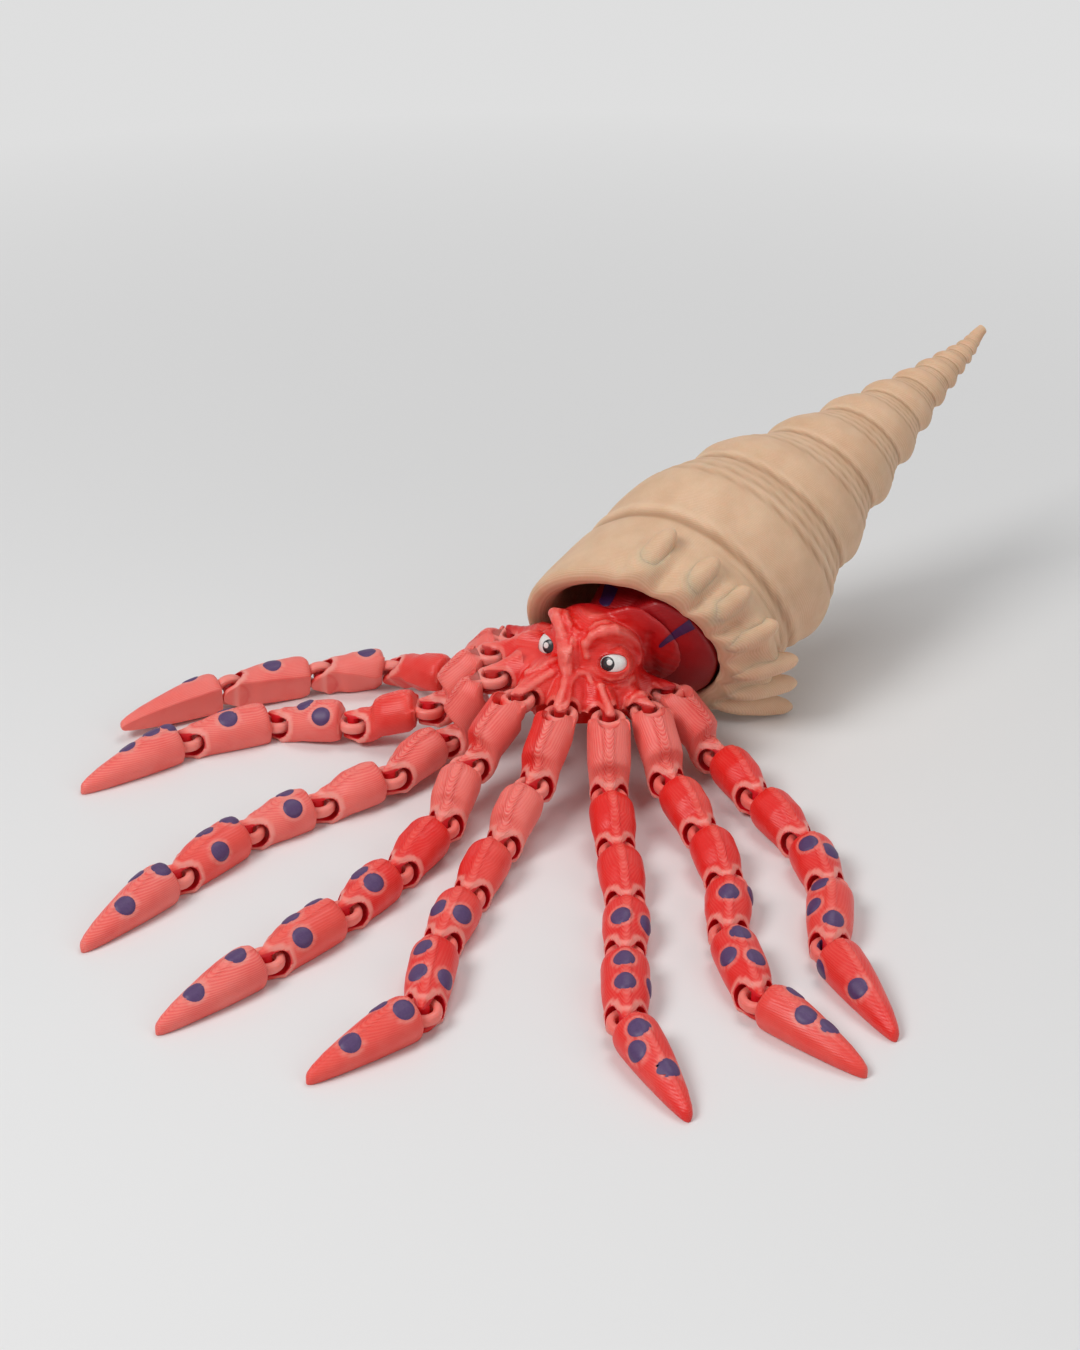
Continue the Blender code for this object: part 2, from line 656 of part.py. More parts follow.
def mantle_mesh():
    """Mantle: seated in the mouth of the shell and narrow enough behind to let the shell slide off."""
    front = NECK_GAP - NECK_OFFSET
    rings = [(front, 0.76 * MOUTH_RADIUS), (1.3 * MM, MOUTH_RADIUS - MANTLE_GAP)]
    rings.append((5.5 * MM, 0.92 * MOUTH_RADIUS))
    for share, size in ((0.26, 1.0), (0.45, 0.93), (0.66, 0.76), (0.86, 0.50), (1.0, 0.20)):
        rings.append((share * MANTLE_LENGTH, size * MANTLE_WAIST))
    sections = []
    for place, radius in rings:
        centre = MOUTH_CENTRE + SHELL_AXIS * max(place, 0.0) + MOUTH_NORMAL * max(-place, 0.0)
        sections.append(circle(centre, shell_normal(max(place, 0.0)), radius, SHELL_SIDES))
    return loft_mesh("mantle", sections)


def build():
    """Model the whole figurine."""
    clear_scene()
    home = new_collection("articulated_squid_figurine")
    cutters = new_collection("cutters")
    materials = {
        "red": make_material("red_plastic", RED, 0.42),
        "pink": make_material("pink_plastic", PINK, 0.45),
        "dark": make_material("dark_red_plastic", DARK_RED, 0.45),
        "sand": make_material("sand_plastic", SAND, 0.62),
        "white": make_material("white_plastic", WHITE, 0.25),
    }
    shapes = {
        "ring": washer_mesh("link_ring", RING_INNER, RING_OUTER, RING_THICK, RING_SIDES),
        "slot": washer_mesh("link_slot", BAR_RADIUS, SLOT_RADIUS, SLOT_HEIGHT, SLOT_SIDES),
    }
    for arm in ARM_HEADINGS:
        add_arm(arm, shapes, home, cutters, materials)
    add_head(shapes, home, cutters, materials["red"])
    add_eyes(home, materials["white"])
    add_object("mantle", mantle_mesh(), home, Matrix.Identity(4), materials["dark"])
    add_shell(home, cutters, materials["sand"])


build()
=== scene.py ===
"""Looks of the articulated squid figurine: printed plastic links, head, mantle, eyes and shell.

Lengths are millimetres until a mesh is made. The frame is the part's own: +Z up, and the figurine
stands on z = 0. Headings are degrees about +Z: 0 points to -Y (toward the viewer) and 90 to +X.
A skin is a pair of vertices and faces. A place is a frame: rows x, y, z and an origin.
"""
import math

import bmesh
import bpy
import numpy as np
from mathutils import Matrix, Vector
from mathutils.bvhtree import BVHTree


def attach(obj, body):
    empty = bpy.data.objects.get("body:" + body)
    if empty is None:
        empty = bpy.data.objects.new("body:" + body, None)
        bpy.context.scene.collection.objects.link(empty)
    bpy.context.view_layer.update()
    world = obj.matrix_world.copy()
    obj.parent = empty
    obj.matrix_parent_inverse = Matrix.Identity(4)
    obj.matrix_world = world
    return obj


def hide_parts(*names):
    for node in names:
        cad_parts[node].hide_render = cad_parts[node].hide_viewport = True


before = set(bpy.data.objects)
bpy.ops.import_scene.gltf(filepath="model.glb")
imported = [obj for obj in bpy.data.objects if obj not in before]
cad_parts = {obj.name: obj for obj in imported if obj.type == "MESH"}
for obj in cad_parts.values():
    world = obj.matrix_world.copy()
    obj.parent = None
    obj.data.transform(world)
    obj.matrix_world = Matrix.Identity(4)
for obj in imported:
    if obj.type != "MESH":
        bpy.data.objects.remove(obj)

MM = 0.001
UP = np.array((0.0, 0.0, 1.0))
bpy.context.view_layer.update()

# Camera solved from the photograph
CAMERA_PLACE = np.array((-3.5, -447.1, 277.2))
CAMERA_PITCH = math.radians(29.0)
PHOTO_WIDTH = 1080
PHOTO_HEIGHT = 1350
FOCAL_PIXELS = 2600.0
SENSOR_HEIGHT = 36.0

# Joints and links, as in the part's source. An arm has a row of headings, one for each link.
RING_INNER = 1.9
RING_OUTER = 3.6
RING_THICK = 2.2
BAR_RADIUS = 1.3
SLOT_HEIGHT = 3.2
AXIS_HEIGHT = 3.0
LINK_HALF_WIDTH = 4.5
LINK_HEIGHT = 8.2
BODY_FRONT = 2.6
NOSE_ROOT = 4.4
NOSE_REACH = 2.15
FIRST_SPACING = 17.3
MIDDLE_SPACING = 16.45
LAST_SPACING = 20.0
TIP_LENGTH = 25.4
ARM_HEADINGS = {
    1: (-104, -124, -84, -70, -62),
    2: (-76, -95, -99, -67, -50),
    3: (-80, -40, -58, -53, -37, -36),
    4: (-45, -17, -31, -33, -41, -44),
    5: (-23, -24, -20, -17, -6, -49),
    6: (0, 4, 5, -3, -1, 23),
    7: (17, 22, 12, -4, 12, 43),
    8: (48, 24, 29, 12, -6, 22),
}
FIRST_JOINT_HEIGHT = {1: 7.0, 2: 8.5, 3: 5.5, 4: 9.0, 5: 9.0, 6: 6.5, 7: 6.5, 8: 5.0}
SECOND_JOINT_HEIGHT = 4.3
# Arm 1 lies rolled on its side: the roll of its joints and of its tip's end, in degrees
ROLLED_ARM = 1
ROLLED_ARM_TURNS = (0, 22, 50, 72, 82, 85)
ROLLED_TIP_HEIGHT = 3.3

# Head, eyes and shell, as in the part's source
HUB = np.array((4.4, 22.5, 0.0))
HUB_HEADING = -27.0
MIDDLE_OF_ARMS = 4.5
HOOK_RADIUS = 18.6
HOOK_SPACING = 30.2
HOOK_HEIGHT = 17.0
HEAD_LEAN = math.tan(math.radians(7.8))
DOME_CENTRE = HUB + np.array((3.5, -0.2, 0.0))
FACE_HEADING = -31.0
EYE_RADIUS = 3.3
EYE_REACH = 8.4
EYE_HEIGHT = 24.2
EYE_TURN = 55.5
MOUTH_CENTRE = np.array((14.8, 28.5, 20.6))
MOUTH_NORMAL = np.array((-0.351, -0.825, -0.4425))
MOUTH_NORMAL = MOUTH_NORMAL / np.linalg.norm(MOUTH_NORMAL)
SHELL_AXIS = np.array((0.700, 0.626, 0.345))
SHELL_AXIS = SHELL_AXIS / np.linalg.norm(SHELL_AXIS)
SHELL_LENGTH = 116.8
MOUTH_RADIUS = 18.8
LIP_WIDTH = 4.8
MOUTH_TWIST_LENGTH = 24.0
WHORL_RATIO = 0.775
WHORL_SCALE = 102.0
WHORL_OFFSET = 3.0
WHORL_CREST = 0.35
RELIEF_AT_TIP = 0.13
RELIEF_AT_MOUTH = 0.02
SHELL_WALL = 3.0
# Spikes of the lip: degrees round the mouth, reach outward and reach back
SPIKES = (
    (10, 3.5, 9.5), (34, 3.2, 7.5), (54, 3.5, 6.3), (76, 4.2, 5.7),
    (101, 6.0, 6.8), (122, 7.5, 8.5), (137, 12.0, 8.5),
)
SPIKE_START = 4.0

# How much painted sheen each link has, from 0 for plain red to 1 for pale pink, from the head
# outward.
# A pair gives the flank on the left of the way outward and the one on its right, as the light falls
# on each.
ARM_SHEEN = {
    1: (0.80, 0.35, 0.80, 0.85, 0.80),
    2: (0.80, 0.35, 0.70, 0.72, 0.75),
    3: ((0.45, 0.75), 0.75, 0.82, 0.80, 0.55, 0.70),
    4: ((0.20, 0.80), 0.92, 0.05, 0.20, 0.62, 0.72),
    5: ((0.05, 0.86), 0.95, (0.20, 0.50), 0.30, 0.15, 0.62),
    6: (0.92, 0.04, (0.0, 0.12), (0.08, 0.2), 0.12, 0.22),
    7: (0.88, (0.05, 0.55), (0.0, 0.15), 0.15, 0.15, 0.55),
    8: (0.84, 0.08, (0.0, 0.15), 0.12, 0.45, 0.20),
}

# Violet spots: the pixel of the photograph at the middle of each one that shows
SPOT_PIXELS = {
    (1, 4): ((272, 664),),
    (2, 3): ((305, 703), (315, 685)), (2, 4): ((228, 718), (246, 690), (218, 700)),
    (2, 5): ((165, 718), (148, 727), (125, 747)),
    (3, 4): ((293, 808), (283, 792)), (3, 5): ((221, 851), (229, 818), (202, 832)),
    (3, 6): ((162, 867), (125, 905)),
    (4, 4): ((374, 882), (352, 868)), (4, 5): ((303, 937), (311, 901), (285, 915)),
    (4, 6): ((193, 991), (235, 954)),
    (5, 4): ((463, 914), (437, 907)), (5, 5): ((422, 947), (417, 972), (447, 979)),
    (5, 6): ((404, 1009), (350, 1042)),
    (6, 4): ((620, 915), (648, 925)), (6, 5): ((624, 957), (625, 980), (652, 988)),
    (6, 6): ((638, 1027), (636, 1051), (671, 1067)),
    (7, 4): ((729, 890), (757, 893)), (7, 5): ((742, 931), (757, 957), (777, 950)),
    (7, 6): ((797, 991), (806, 1014), (852, 1020)),
    (8, 4): ((808, 843), (832, 850)), (8, 5): ((819, 883), (812, 906), (835, 918)),
    (8, 6): ((820, 948), (820, 970), (857, 988)),
}
# Radius and rise of a spot, how many pixels round its own are searched for the skin, and the least
# distance to another spot's middle: for one that the photograph shows, and for one filled in
SPOT_RADIUS = 2.1
SPOT_RISE = 0.28
SPOT_SEARCH = 10
SPOT_GAP = 3.4
FILLER_GAP = 4.6
# Share of the link's length and flank of the spots that the photograph doesn't show
TIP_FILLERS = ((0.30, 1), (0.56, -1), (0.62, 1), (0.30, -1))
LINK_FILLERS = ((0.36, 1), (0.52, -1), (0.66, 1), (0.36, -1))

# Patches laid on a skin: where their rays start above it, how far these reach, and how deep the
# edge of a patch sinks in
PATCH_START = 2.5
PATCH_RAY = 6.0
PATCH_SINK = 0.05


# Small helpers

def unit(vector):
    """A vector of length one."""
    vector = np.asarray(vector, float)
    return vector / np.linalg.norm(vector)


def heading_vector(degrees):
    """Horizontal unit vector of a heading."""
    turn = math.radians(degrees)
    return np.array((math.sin(turn), -math.cos(turn), 0.0))


def smooth_step(t):
    """Ease from 0 to 1, for numbers or arrays."""
    t = np.clip(t, 0.0, 1.0)
    return t * t * (3.0 - 2.0 * t)


def bump_of(distance, width):
    """A bell of height one."""
    return np.exp(-(np.asarray(distance) / width) ** 2)


def frame_at(centre, axis, direction):
    """Rows x, y, z and the origin of a joint's frame."""
    x = unit(direction - axis * np.dot(direction, axis))
    y = np.cross(axis, x)
    return np.array((x, y, axis)), np.asarray(centre, float)


def out_of(place, points):
    """Points of a frame, in the part's frame."""
    rows, origin = place
    return points @ rows + origin


def turned(vector, axis, degrees):
    """A vector turned about an axis."""
    turn = math.radians(degrees)
    return (vector * math.cos(turn) + np.cross(axis, vector) * math.sin(turn)
            + axis * np.dot(axis, vector) * (1 - math.cos(turn)))


def chaikin(points, rounds):
    """Corner cutting of a closed loop."""
    points = np.asarray(points, float)
    for _ in range(rounds):
        after = np.roll(points, -1, axis=0)
        mixed = np.stack((0.75 * points + 0.25 * after, 0.25 * points + 0.75 * after), axis=1)
        points = mixed.reshape(-1, points.shape[1])
    return points


def circle(count):
    """Evenly spaced angles round a circle."""
    return np.linspace(0.0, 2 * math.pi, count + 1)[:-1]


def lofted(sections):
    """Vertices and faces of a closed skin through sections of equal point counts."""
    sections = np.asarray(sections, float)
    rows, count = sections.shape[:2]
    faces = []
    for r in range(rows - 1):
        a = r * count
        for i in range(count):
            j = (i + 1) % count
            faces.append((a + i, a + j, a + count + j, a + count + i))
    faces.append(tuple(reversed(range(count))))
    faces.append(tuple(range((rows - 1) * count, rows * count)))
    return sections.reshape(-1, 3), faces


def spun(profile, sides):
    """Vertices and faces of a closed profile spun about z."""
    profile = np.asarray(profile, float)
    count = len(profile)
    verts = []
    for s in range(sides):
        turn = 2 * math.pi * s / sides
        for r, z in profile:
            verts.append((r * math.cos(turn), r * math.sin(turn), z))
    faces = []
    for s in range(sides):
        t = (s + 1) % sides
        for i in range(count):
            j = (i + 1) % count
            faces.append((s * count + i, t * count + i, t * count + j, s * count + j))
    return np.array(verts), faces


def joined(*skins):
    """Several skins as one, with nothing cut."""
    faces = []
    start = 0
    for verts, part in skins:
        faces += [tuple(start + i for i in face) for face in part]
        start += len(verts)
    return np.concatenate([np.asarray(verts, float) for verts, _ in skins]), faces


def make_object(name, verts, faces, materials=(), face_materials=None, values=None, vectors=None,
                sharp=None):
    """A mesh object from millimetre vertices, with named numbers and vectors on its points."""
    mesh = bpy.data.meshes.new(name)
    mesh.from_pydata((np.asarray(verts, float) * MM).tolist(), [], [list(f) for f in faces])
    for material in materials:
        mesh.materials.append(material)
    if face_materials is not None:
        mesh.polygons.foreach_set("material_index", np.asarray(face_materials, np.int32))
    for key, numbers in (values or {}).items():
        data = mesh.attributes.new(key, "FLOAT", "POINT").data
        data.foreach_set("value", np.asarray(numbers, np.float32))
    for key, triples in (vectors or {}).items():
        data = mesh.attributes.new(key, "FLOAT_VECTOR", "POINT").data
        data.foreach_set("vector", np.asarray(triples, np.float32).reshape(-1))
    mesh.shade_smooth()
    if sharp:
        mesh.set_sharp_from_angle(angle=math.radians(sharp))
    mesh.validate()
    mesh.update()
    obj = bpy.data.objects.new(name, mesh)
    bpy.context.scene.collection.objects.link(obj)
    return obj


def make_piece(name, skin, patches, materials, values, texture, sharp=None):
    """A visible piece: a skin, and patches on it, each with the number of its material.

    The values are the skin's numbers for its material, and the texture its points for the grain.
    """
    verts, faces = joined(skin, *(patch for patch, _ in patches))
    marks = [0] * len(skin[1])
    for patch, material in patches:
        marks += [material] * len(patch[1])
    extra = np.zeros(len(verts) - len(skin[0]))
    values = {key: np.concatenate((numbers, extra)) for key, numbers in values.items()}
    texture = np.concatenate([texture] + [patch[0] for patch, _ in patches])
    return make_object(name, verts, faces, materials, marks, values, {"rest": texture}, sharp)


def read_mesh(mesh):
    """Millimetre vertices and faces of a mesh."""
    co = np.empty(len(mesh.vertices) * 3)
    mesh.vertices.foreach_get("co", co)
    faces = [tuple(p.vertices) for p in mesh.polygons]
    return co.reshape(-1, 3) / MM, faces


def with_modifiers(obj):
    """Vertices and faces of an object after its modifiers, and the object removed."""
    bpy.context.view_layer.update()
    graph = bpy.context.evaluated_depsgraph_get()
    mesh = bpy.data.meshes.new_from_object(obj.evaluated_get(graph))
    result = read_mesh(mesh)
    bpy.data.objects.remove(obj)
    bpy.data.meshes.remove(mesh)
    return result


def outward(verts, faces):
    """The same skin with its faces turned outward."""
    bm = bmesh.new()
    points = [bm.verts.new(v) for v in verts]
    for face in faces:
        bm.faces.new([points[i] for i in face])
    bmesh.ops.recalc_face_normals(bm, faces=bm.faces)
    bm.verts.index_update()
    made = [tuple(v.index for v in f.verts) for f in bm.faces]
    bm.free()
    return verts, made


def carved(skin, steps):
    """A skin after joining or cutting with other skins, one after another."""
    base = make_object("carving", *outward(*skin))
    tools = []
    for operation, other in steps:
        tool = make_object("carving_tool", *outward(*other))
        tools.append(tool)
        modifier = base.modifiers.new("carve", "BOOLEAN")
        modifier.operation = operation
        modifier.solver = "MANIFOLD"
        modifier.object = tool
    result = with_modifiers(base)
    for tool in tools:
        bpy.data.objects.remove(tool)
    return result


def remeshed(skins, voxel, smooth_rounds):
    """Several overlapping skins as one even skin."""
    obj = make_object("remeshing", *joined(*(outward(*skin) for skin in skins)))
    even = obj.modifiers.new("even", "REMESH")
    even.mode = "VOXEL"
    even.voxel_size = voxel * MM
    even.adaptivity = 0.0
    softer = obj.modifiers.new("soft", "SMOOTH")
    softer.factor = 0.5
    softer.iterations = smooth_rounds
    return with_modifiers(obj)


def point_normals(verts, faces):
    """Normals at the vertices."""
    normals = np.zeros_like(verts)
    fours = np.array([f for f in faces if len(f) == 4])
    threes = np.array([f for f in faces if len(f) == 3])
    for block, (a, b, c) in ((fours, (0, 1, 2)), (fours, (0, 2, 3)), (threes, (0, 1, 2))):
        if len(block) == 0:
            continue
        p, q, r = (verts[block[:, k]] for k in (a, b, c))
        n = np.cross(q - p, r - p)
        for k in (a, b, c):
            np.add.at(normals, block[:, k], n)
    lengths = np.linalg.norm(normals, axis=1, keepdims=True)
    return normals / np.where(lengths < 1e-12, 1.0, lengths)


def tree_of(verts, faces):
    """A search tree of a skin."""
    return BVHTree.FromPolygons([Vector(v) for v in verts], faces)


def pixel_ray(px, py):
    """Direction from the camera through a pixel of the photograph."""
    right = np.array((1.0, 0.0, 0.0))
    forward = np.array((0.0, math.cos(CAMERA_PITCH), -math.sin(CAMERA_PITCH)))
    up = np.array((0.0, math.sin(CAMERA_PITCH), math.cos(CAMERA_PITCH)))
    across = (px - PHOTO_WIDTH / 2) / FOCAL_PIXELS
    rise = (PHOTO_HEIGHT / 2 - py) / FOCAL_PIXELS
    return unit(forward + right * across + up * rise)


def under_pixel(tree, px, py):
    """The point and outward normal of a skin under a pixel, or None."""
    ray = pixel_ray(px, py)
    place, normal, _, _ = tree.ray_cast(Vector(CAMERA_PLACE), Vector(ray))
    if place is None:
        return None
    normal = np.array(normal)
    if np.dot(normal, ray) > 0:
        normal = -normal
    return np.array(place), normal


def near_pixel(tree, px, py, reach):
    """The point and normal of a skin under a pixel, or under the nearest pixel that has one."""
    for radius in range(0, reach + 1, 2):
        for turn in range(0, 360 if radius else 1, 30):
            x = px + radius * math.cos(math.radians(turn))
            y = py + radius * math.sin(math.radians(turn))
            found = under_pixel(tree, x, y)
            if found:
                return found
    return None


def disc_patch(tree, centre, normal, radius, rise, rings=5, sides=24):
    """A thin raised pad that follows a skin."""
    side = unit(np.cross(normal, UP if abs(normal[2]) < 0.9 else np.array((1.0, 0.0, 0.0))))
    along = np.cross(normal, side)
    places = [(0.0, 0.0)]
    for r in range(1, rings + 1):
        share = r / rings
        for s in range(sides):
            turn = 2 * math.pi * s / sides
            places.append((share * math.cos(turn), share * math.sin(turn)))
    verts = []
    for u, v in places:
        start = centre + (side * u + along * v) * radius + normal * PATCH_START
        hit, found, _, _ = tree.ray_cast(Vector(start), Vector(-normal), PATCH_RAY)
        if hit is None:
            hit, found, _, _ = tree.find_nearest(Vector(start - normal * PATCH_START))
        found = np.array(found)
        if np.dot(found, normal) < 0:
            found = -found
        crown = rise * (1.0 - min(math.hypot(u, v), 1.0) ** 6)
        verts.append(np.array(hit) + unit(found + normal) * (crown - PATCH_SINK))
    faces = [(0, 1 + s, 1 + (s + 1) % sides) for s in range(sides)]
    for r in range(rings - 1):
        a = 1 + r * sides
        for s in range(sides):
            t = (s + 1) % sides
            faces.append((a + s, a + sides + s, a + sides + t, a + t))
    return np.array(verts), faces


# Materials

class Nodes:
    """A small helper that wires the nodes of a material or a world."""

    def __init__(self, owner):
        owner.use_nodes = True
        self.owner = owner
        self.tree = owner.node_tree
        self.shader = self.tree.nodes.get("Principled BSDF")

    def add(self, kind, **settings):
        """A new node."""
        node = self.tree.nodes.new(kind)
        for key, value in settings.items():
            setattr(node, key, value)
        return node

    def link(self, output, socket):
        """A wire from an output to a socket."""
        self.tree.links.new(output, socket)

    def feed(self, socket, value):
        """A number, a colour or another node's output, given to a socket."""
        if isinstance(value, tuple):
            socket.default_value = (*value, 1.0)
        elif isinstance(value, (int, float)):
            socket.default_value = value
        else:
            self.link(value, socket)

    def math(self, operation, a, b=None, clamp=False):
        """The result of a sum on one or two inputs."""
        node = self.add("ShaderNodeMath", operation=operation, use_clamp=clamp)
        for socket, value in zip(node.inputs, (a, b)):
            if value is not None:
                self.feed(socket, value)
        return node.outputs[0]

    def plus(self, a, b, clamp=False):
        """a + b."""
        return self.math("ADD", a, b, clamp)

    def minus(self, a, b):
        """a - b."""
        return self.math("SUBTRACT", a, b)

    def times(self, a, b, clamp=False):
        """a times b."""
        return self.math("MULTIPLY", a, b, clamp)

    def mix(self, factor, first, second):
        """A colour between two."""
        node = self.add("ShaderNodeMix", data_type="RGBA", blend_type="MIX")
        for index, value in ((0, factor), (6, first), (7, second)):
            self.feed(node.inputs[index], value)
        return node.outputs[2]

    def attribute(self, name, part="Fac"):
        """Numbers or vectors stored on the points of the mesh."""
        return self.add("ShaderNodeAttribute", attribute_name=name).outputs[part]

    def noise(self, vector, scale, detail, rough):
        """Soft noise."""
        node = self.add("ShaderNodeTexNoise")
        for name, value in (("Scale", scale), ("Detail", detail), ("Roughness", rough)):
            node.inputs[name].default_value = value
        self.link(vector, node.inputs["Vector"])
        return node.outputs["Fac"]

    def relief(self, height, strength, distance):
        """Bump on the surface, its distance in millimetres."""
        node = self.add("ShaderNodeBump")
        node.inputs["Strength"].default_value = strength
        node.inputs["Distance"].default_value = distance * MM
        self.link(height, node.inputs["Height"])
        self.link(node.outputs["Normal"], self.shader.inputs["Normal"])


# Pitch of the layer lines and of the contour lines along the seam, in millimetres
LAYER = 0.34
CONTOUR = 1.0


def layer_waves(nodes, height, pitch):
    """A wave for each printed layer: 1 at its edges and 0 halfway between them."""
    steps = nodes.math("FRACT", nodes.math("DIVIDE", height, pitch))
    return nodes.times(nodes.math("ABSOLUTE", nodes.minus(steps, 0.5)), 2.0)


def printed_plastic(name, dark, light, shade_colour, roughness,
                    bump=0.7, speckle=0.10, layer_sheen=0.22, highlight_share=0.6):
    """Printed plastic: two colours mixed by the tone of the surface, with layer lines and grain;
    then a painted highlight on rims and a painted shade in deep places.
    """
    nodes = Nodes(bpy.data.materials.new(name))
    rest = nodes.attribute("rest", "Vector")
    # Rim carries painted highlight, and deep, read below, painted shade
    rim = nodes.attribute("rim")
    seam = nodes.attribute("ridge")
    layers = layer_waves(nodes, nodes.attribute("layer"), LAYER)
    contours = layer_waves(nodes, nodes.attribute("contour"), CONTOUR)
    broad = nodes.noise(rest, 0.16, 2.0, 0.55)
    grain = nodes.noise(rest, 3.2, 3.0, 0.7)
    cloud = nodes.times(nodes.minus(broad, 0.5), 0.9)
    specks = nodes.times(nodes.minus(grain, 0.5), 2.0 * speckle)
    # Layer lines and the contour lines along the seam are painted sheen in the colour, lighter and
    # darker by turns, as well as bumps
    layer_line = nodes.times(nodes.minus(layers, 0.5), layer_sheen)
    seam_line = nodes.times(nodes.times(nodes.minus(contours, 0.62), seam), 1.1)
    amount = nodes.plus(nodes.plus(nodes.attribute("tone"), cloud),
                        nodes.plus(specks, nodes.plus(layer_line, seam_line)))
    # Painted highlight: rims lighten the colour, then mix in the pale pink of the highlight
    amount = nodes.plus(amount, nodes.times(rim, 0.75), clamp=True)
    colour = nodes.mix(amount, dark, light)
    colour = nodes.mix(nodes.times(rim, highlight_share), colour, RIM_HIGHLIGHT)
    # Painted shade: deep places take the shade colour
    colour = nodes.mix(nodes.attribute("deep"), colour, shade_colour)
    nodes.link(colour, nodes.shader.inputs["Base Color"])
    rough = nodes.plus(nodes.times(grain, 0.16), roughness - 0.08)
    nodes.link(rough, nodes.shader.inputs["Roughness"])
    height = nodes.plus(nodes.times(layers, 0.7), nodes.times(grain, 0.5))
    height = nodes.plus(height, nodes.times(nodes.times(contours, seam), 2.2))
    nodes.relief(height, bump, 0.06)
    for socket, value in (("Specular IOR Level", 0.42), ("Subsurface Weight", 0.30),
                          ("Subsurface Radius", (1.0, 0.25, 0.15)), ("Subsurface Scale", 2.2 * MM)):
        nodes.shader.inputs[socket].default_value = value
    return nodes.owner


def smooth_plastic(name, colour, second, roughness, grain_scale=2.0):
    """Smooth plastic with a faint mottle."""
    nodes = Nodes(bpy.data.materials.new(name))
    grain = nodes.noise(nodes.attribute("rest", "Vector"), grain_scale, 3.0, 0.6)
    nodes.link(nodes.mix(grain, colour, second), nodes.shader.inputs["Base Color"])
    rough = nodes.plus(nodes.times(grain, 0.12), roughness)
    nodes.link(rough, nodes.shader.inputs["Roughness"])
    nodes.relief(grain, 0.25, 0.03)
    return nodes.owner


# Colours, as linear red, green and blue
RED = (0.80, 0.013, 0.009)
# Coral and pale pink are painted sheen on the red plastic, where the light falls on it
CORAL_SHEEN = (0.89, 0.130, 0.100)
PALE_SHEEN = (0.91, 0.205, 0.170)
# Reds of painted shade: for the mantle inside the shell, and for the head's pockets, hollows and
# the parts that reach into the shell
DEEP_SHADE_RED = (0.27, 0.003, 0.007)
SHADE_RED = (0.46, 0.006, 0.009)
# Painted shade inside the pockets of the links
POCKET_SHADE_RED = (0.70, 0.008, 0.018)
# Pale pink of the painted highlight on rims
RIM_HIGHLIGHT = (0.94, 0.40, 0.34)
SAND = (0.60, 0.345, 0.195)
# Painted shade of the shell, in its creases and inside it
SAND_SHADE = (0.30, 0.145, 0.075)
SAND_LIGHT = (0.80, 0.555, 0.37)
VIOLET = (0.046, 0.015, 0.085)
VIOLET_LIGHT = (0.100, 0.045, 0.150)
STRIPE = (0.030, 0.004, 0.050)
STRIPE_LIGHT = (0.055, 0.010, 0.085)

LINK_PLASTIC = printed_plastic("link_plastic", RED, CORAL_SHEEN, POCKET_SHADE_RED, 0.38, layer_sheen=0.30)
# Copy of the link plastic with paler painted sheen, for the links that catch the most light
SHEEN_LINK_PLASTIC = printed_plastic("sheen_link_plastic", RED, PALE_SHEEN, POCKET_SHADE_RED, 0.42,
                                bump=0.85, layer_sheen=0.50)
HEAD_PLASTIC = printed_plastic("head_plastic", RED, CORAL_SHEEN, SHADE_RED, 0.34,
                               layer_sheen=0.16, highlight_share=0.2)
# The mantle: the red plastic drawn in painted shade, as it lies inside the shell's mouth
MANTLE_PLASTIC = printed_plastic("mantle_plastic", DEEP_SHADE_RED, SHADE_RED, DEEP_SHADE_RED, 0.36,
                                 layer_sheen=0.10)
SHELL_PLASTIC = printed_plastic("shell_plastic", SAND, SAND_LIGHT, SAND_SHADE, 0.58,
                                speckle=0.22, layer_sheen=0.4)
VIOLET_PLASTIC = smooth_plastic("violet_plastic", VIOLET, VIOLET_LIGHT, 0.42, 2.4)
STRIPE_PLASTIC = smooth_plastic("stripe_plastic", STRIPE, STRIPE_LIGHT, 0.40, 2.4)
EYE_WHITE = smooth_plastic("eye_white", (0.80, 0.80, 0.77), (0.86, 0.86, 0.84), 0.22)
EYE_BLACK = smooth_plastic("eye_black", (0.012, 0.010, 0.012), (0.03, 0.025, 0.03), 0.20)


# Links

# Half of a cross section from the bottom up, in shares of the half width and the height: of a
# link's body, and of the narrow nose that holds the bar
BODY_KEYS = ((0.66, 0.0), (0.74, 0.02), (0.88, 0.16), (1.0, 0.38), (0.99, 0.52),
             (0.90, 0.68), (0.74, 0.80), (0.46, 0.915), (0.235, 0.962), (0.185, 1.0))
NOSE_KEYS = ((0.84, 0.0), (0.95, 0.03), (1.0, 0.15), (0.94, 0.27), (0.72, 0.42),
             (0.58, 0.58), (0.51, 0.72), (0.45, 0.84), (0.35, 0.93), (0.20, 1.0))


def section(place, half_width, height, nose):
    """Closed smooth cross section of a link at a place along it."""
    keys = (1.0 - nose) * np.array(BODY_KEYS) + nose * np.array(NOSE_KEYS)
    right = keys * (half_width, height)
    left = right[::-1] * (-1.0, 1.0)
    loop = chaikin(np.concatenate((right, left)), 2)
    return np.column_stack((np.full(len(loop), place), loop[:, 0], loop[:, 1] - AXIS_HEIGHT))


def between(table, x):
    """Smooth values between the rows of a table."""
    table = np.asarray(table, float)
    return [float(np.interp(x, table[:, 0], table[:, k])) for k in range(1, table.shape[1])]


def scaled_rows(rows):
    """Rows of place, half width, height and nose share, from shares of a link's own size."""
    return [(place, wide * LINK_HALF_WIDTH, high * LINK_HEIGHT, nose)
            for place, wide, high, nose in rows]


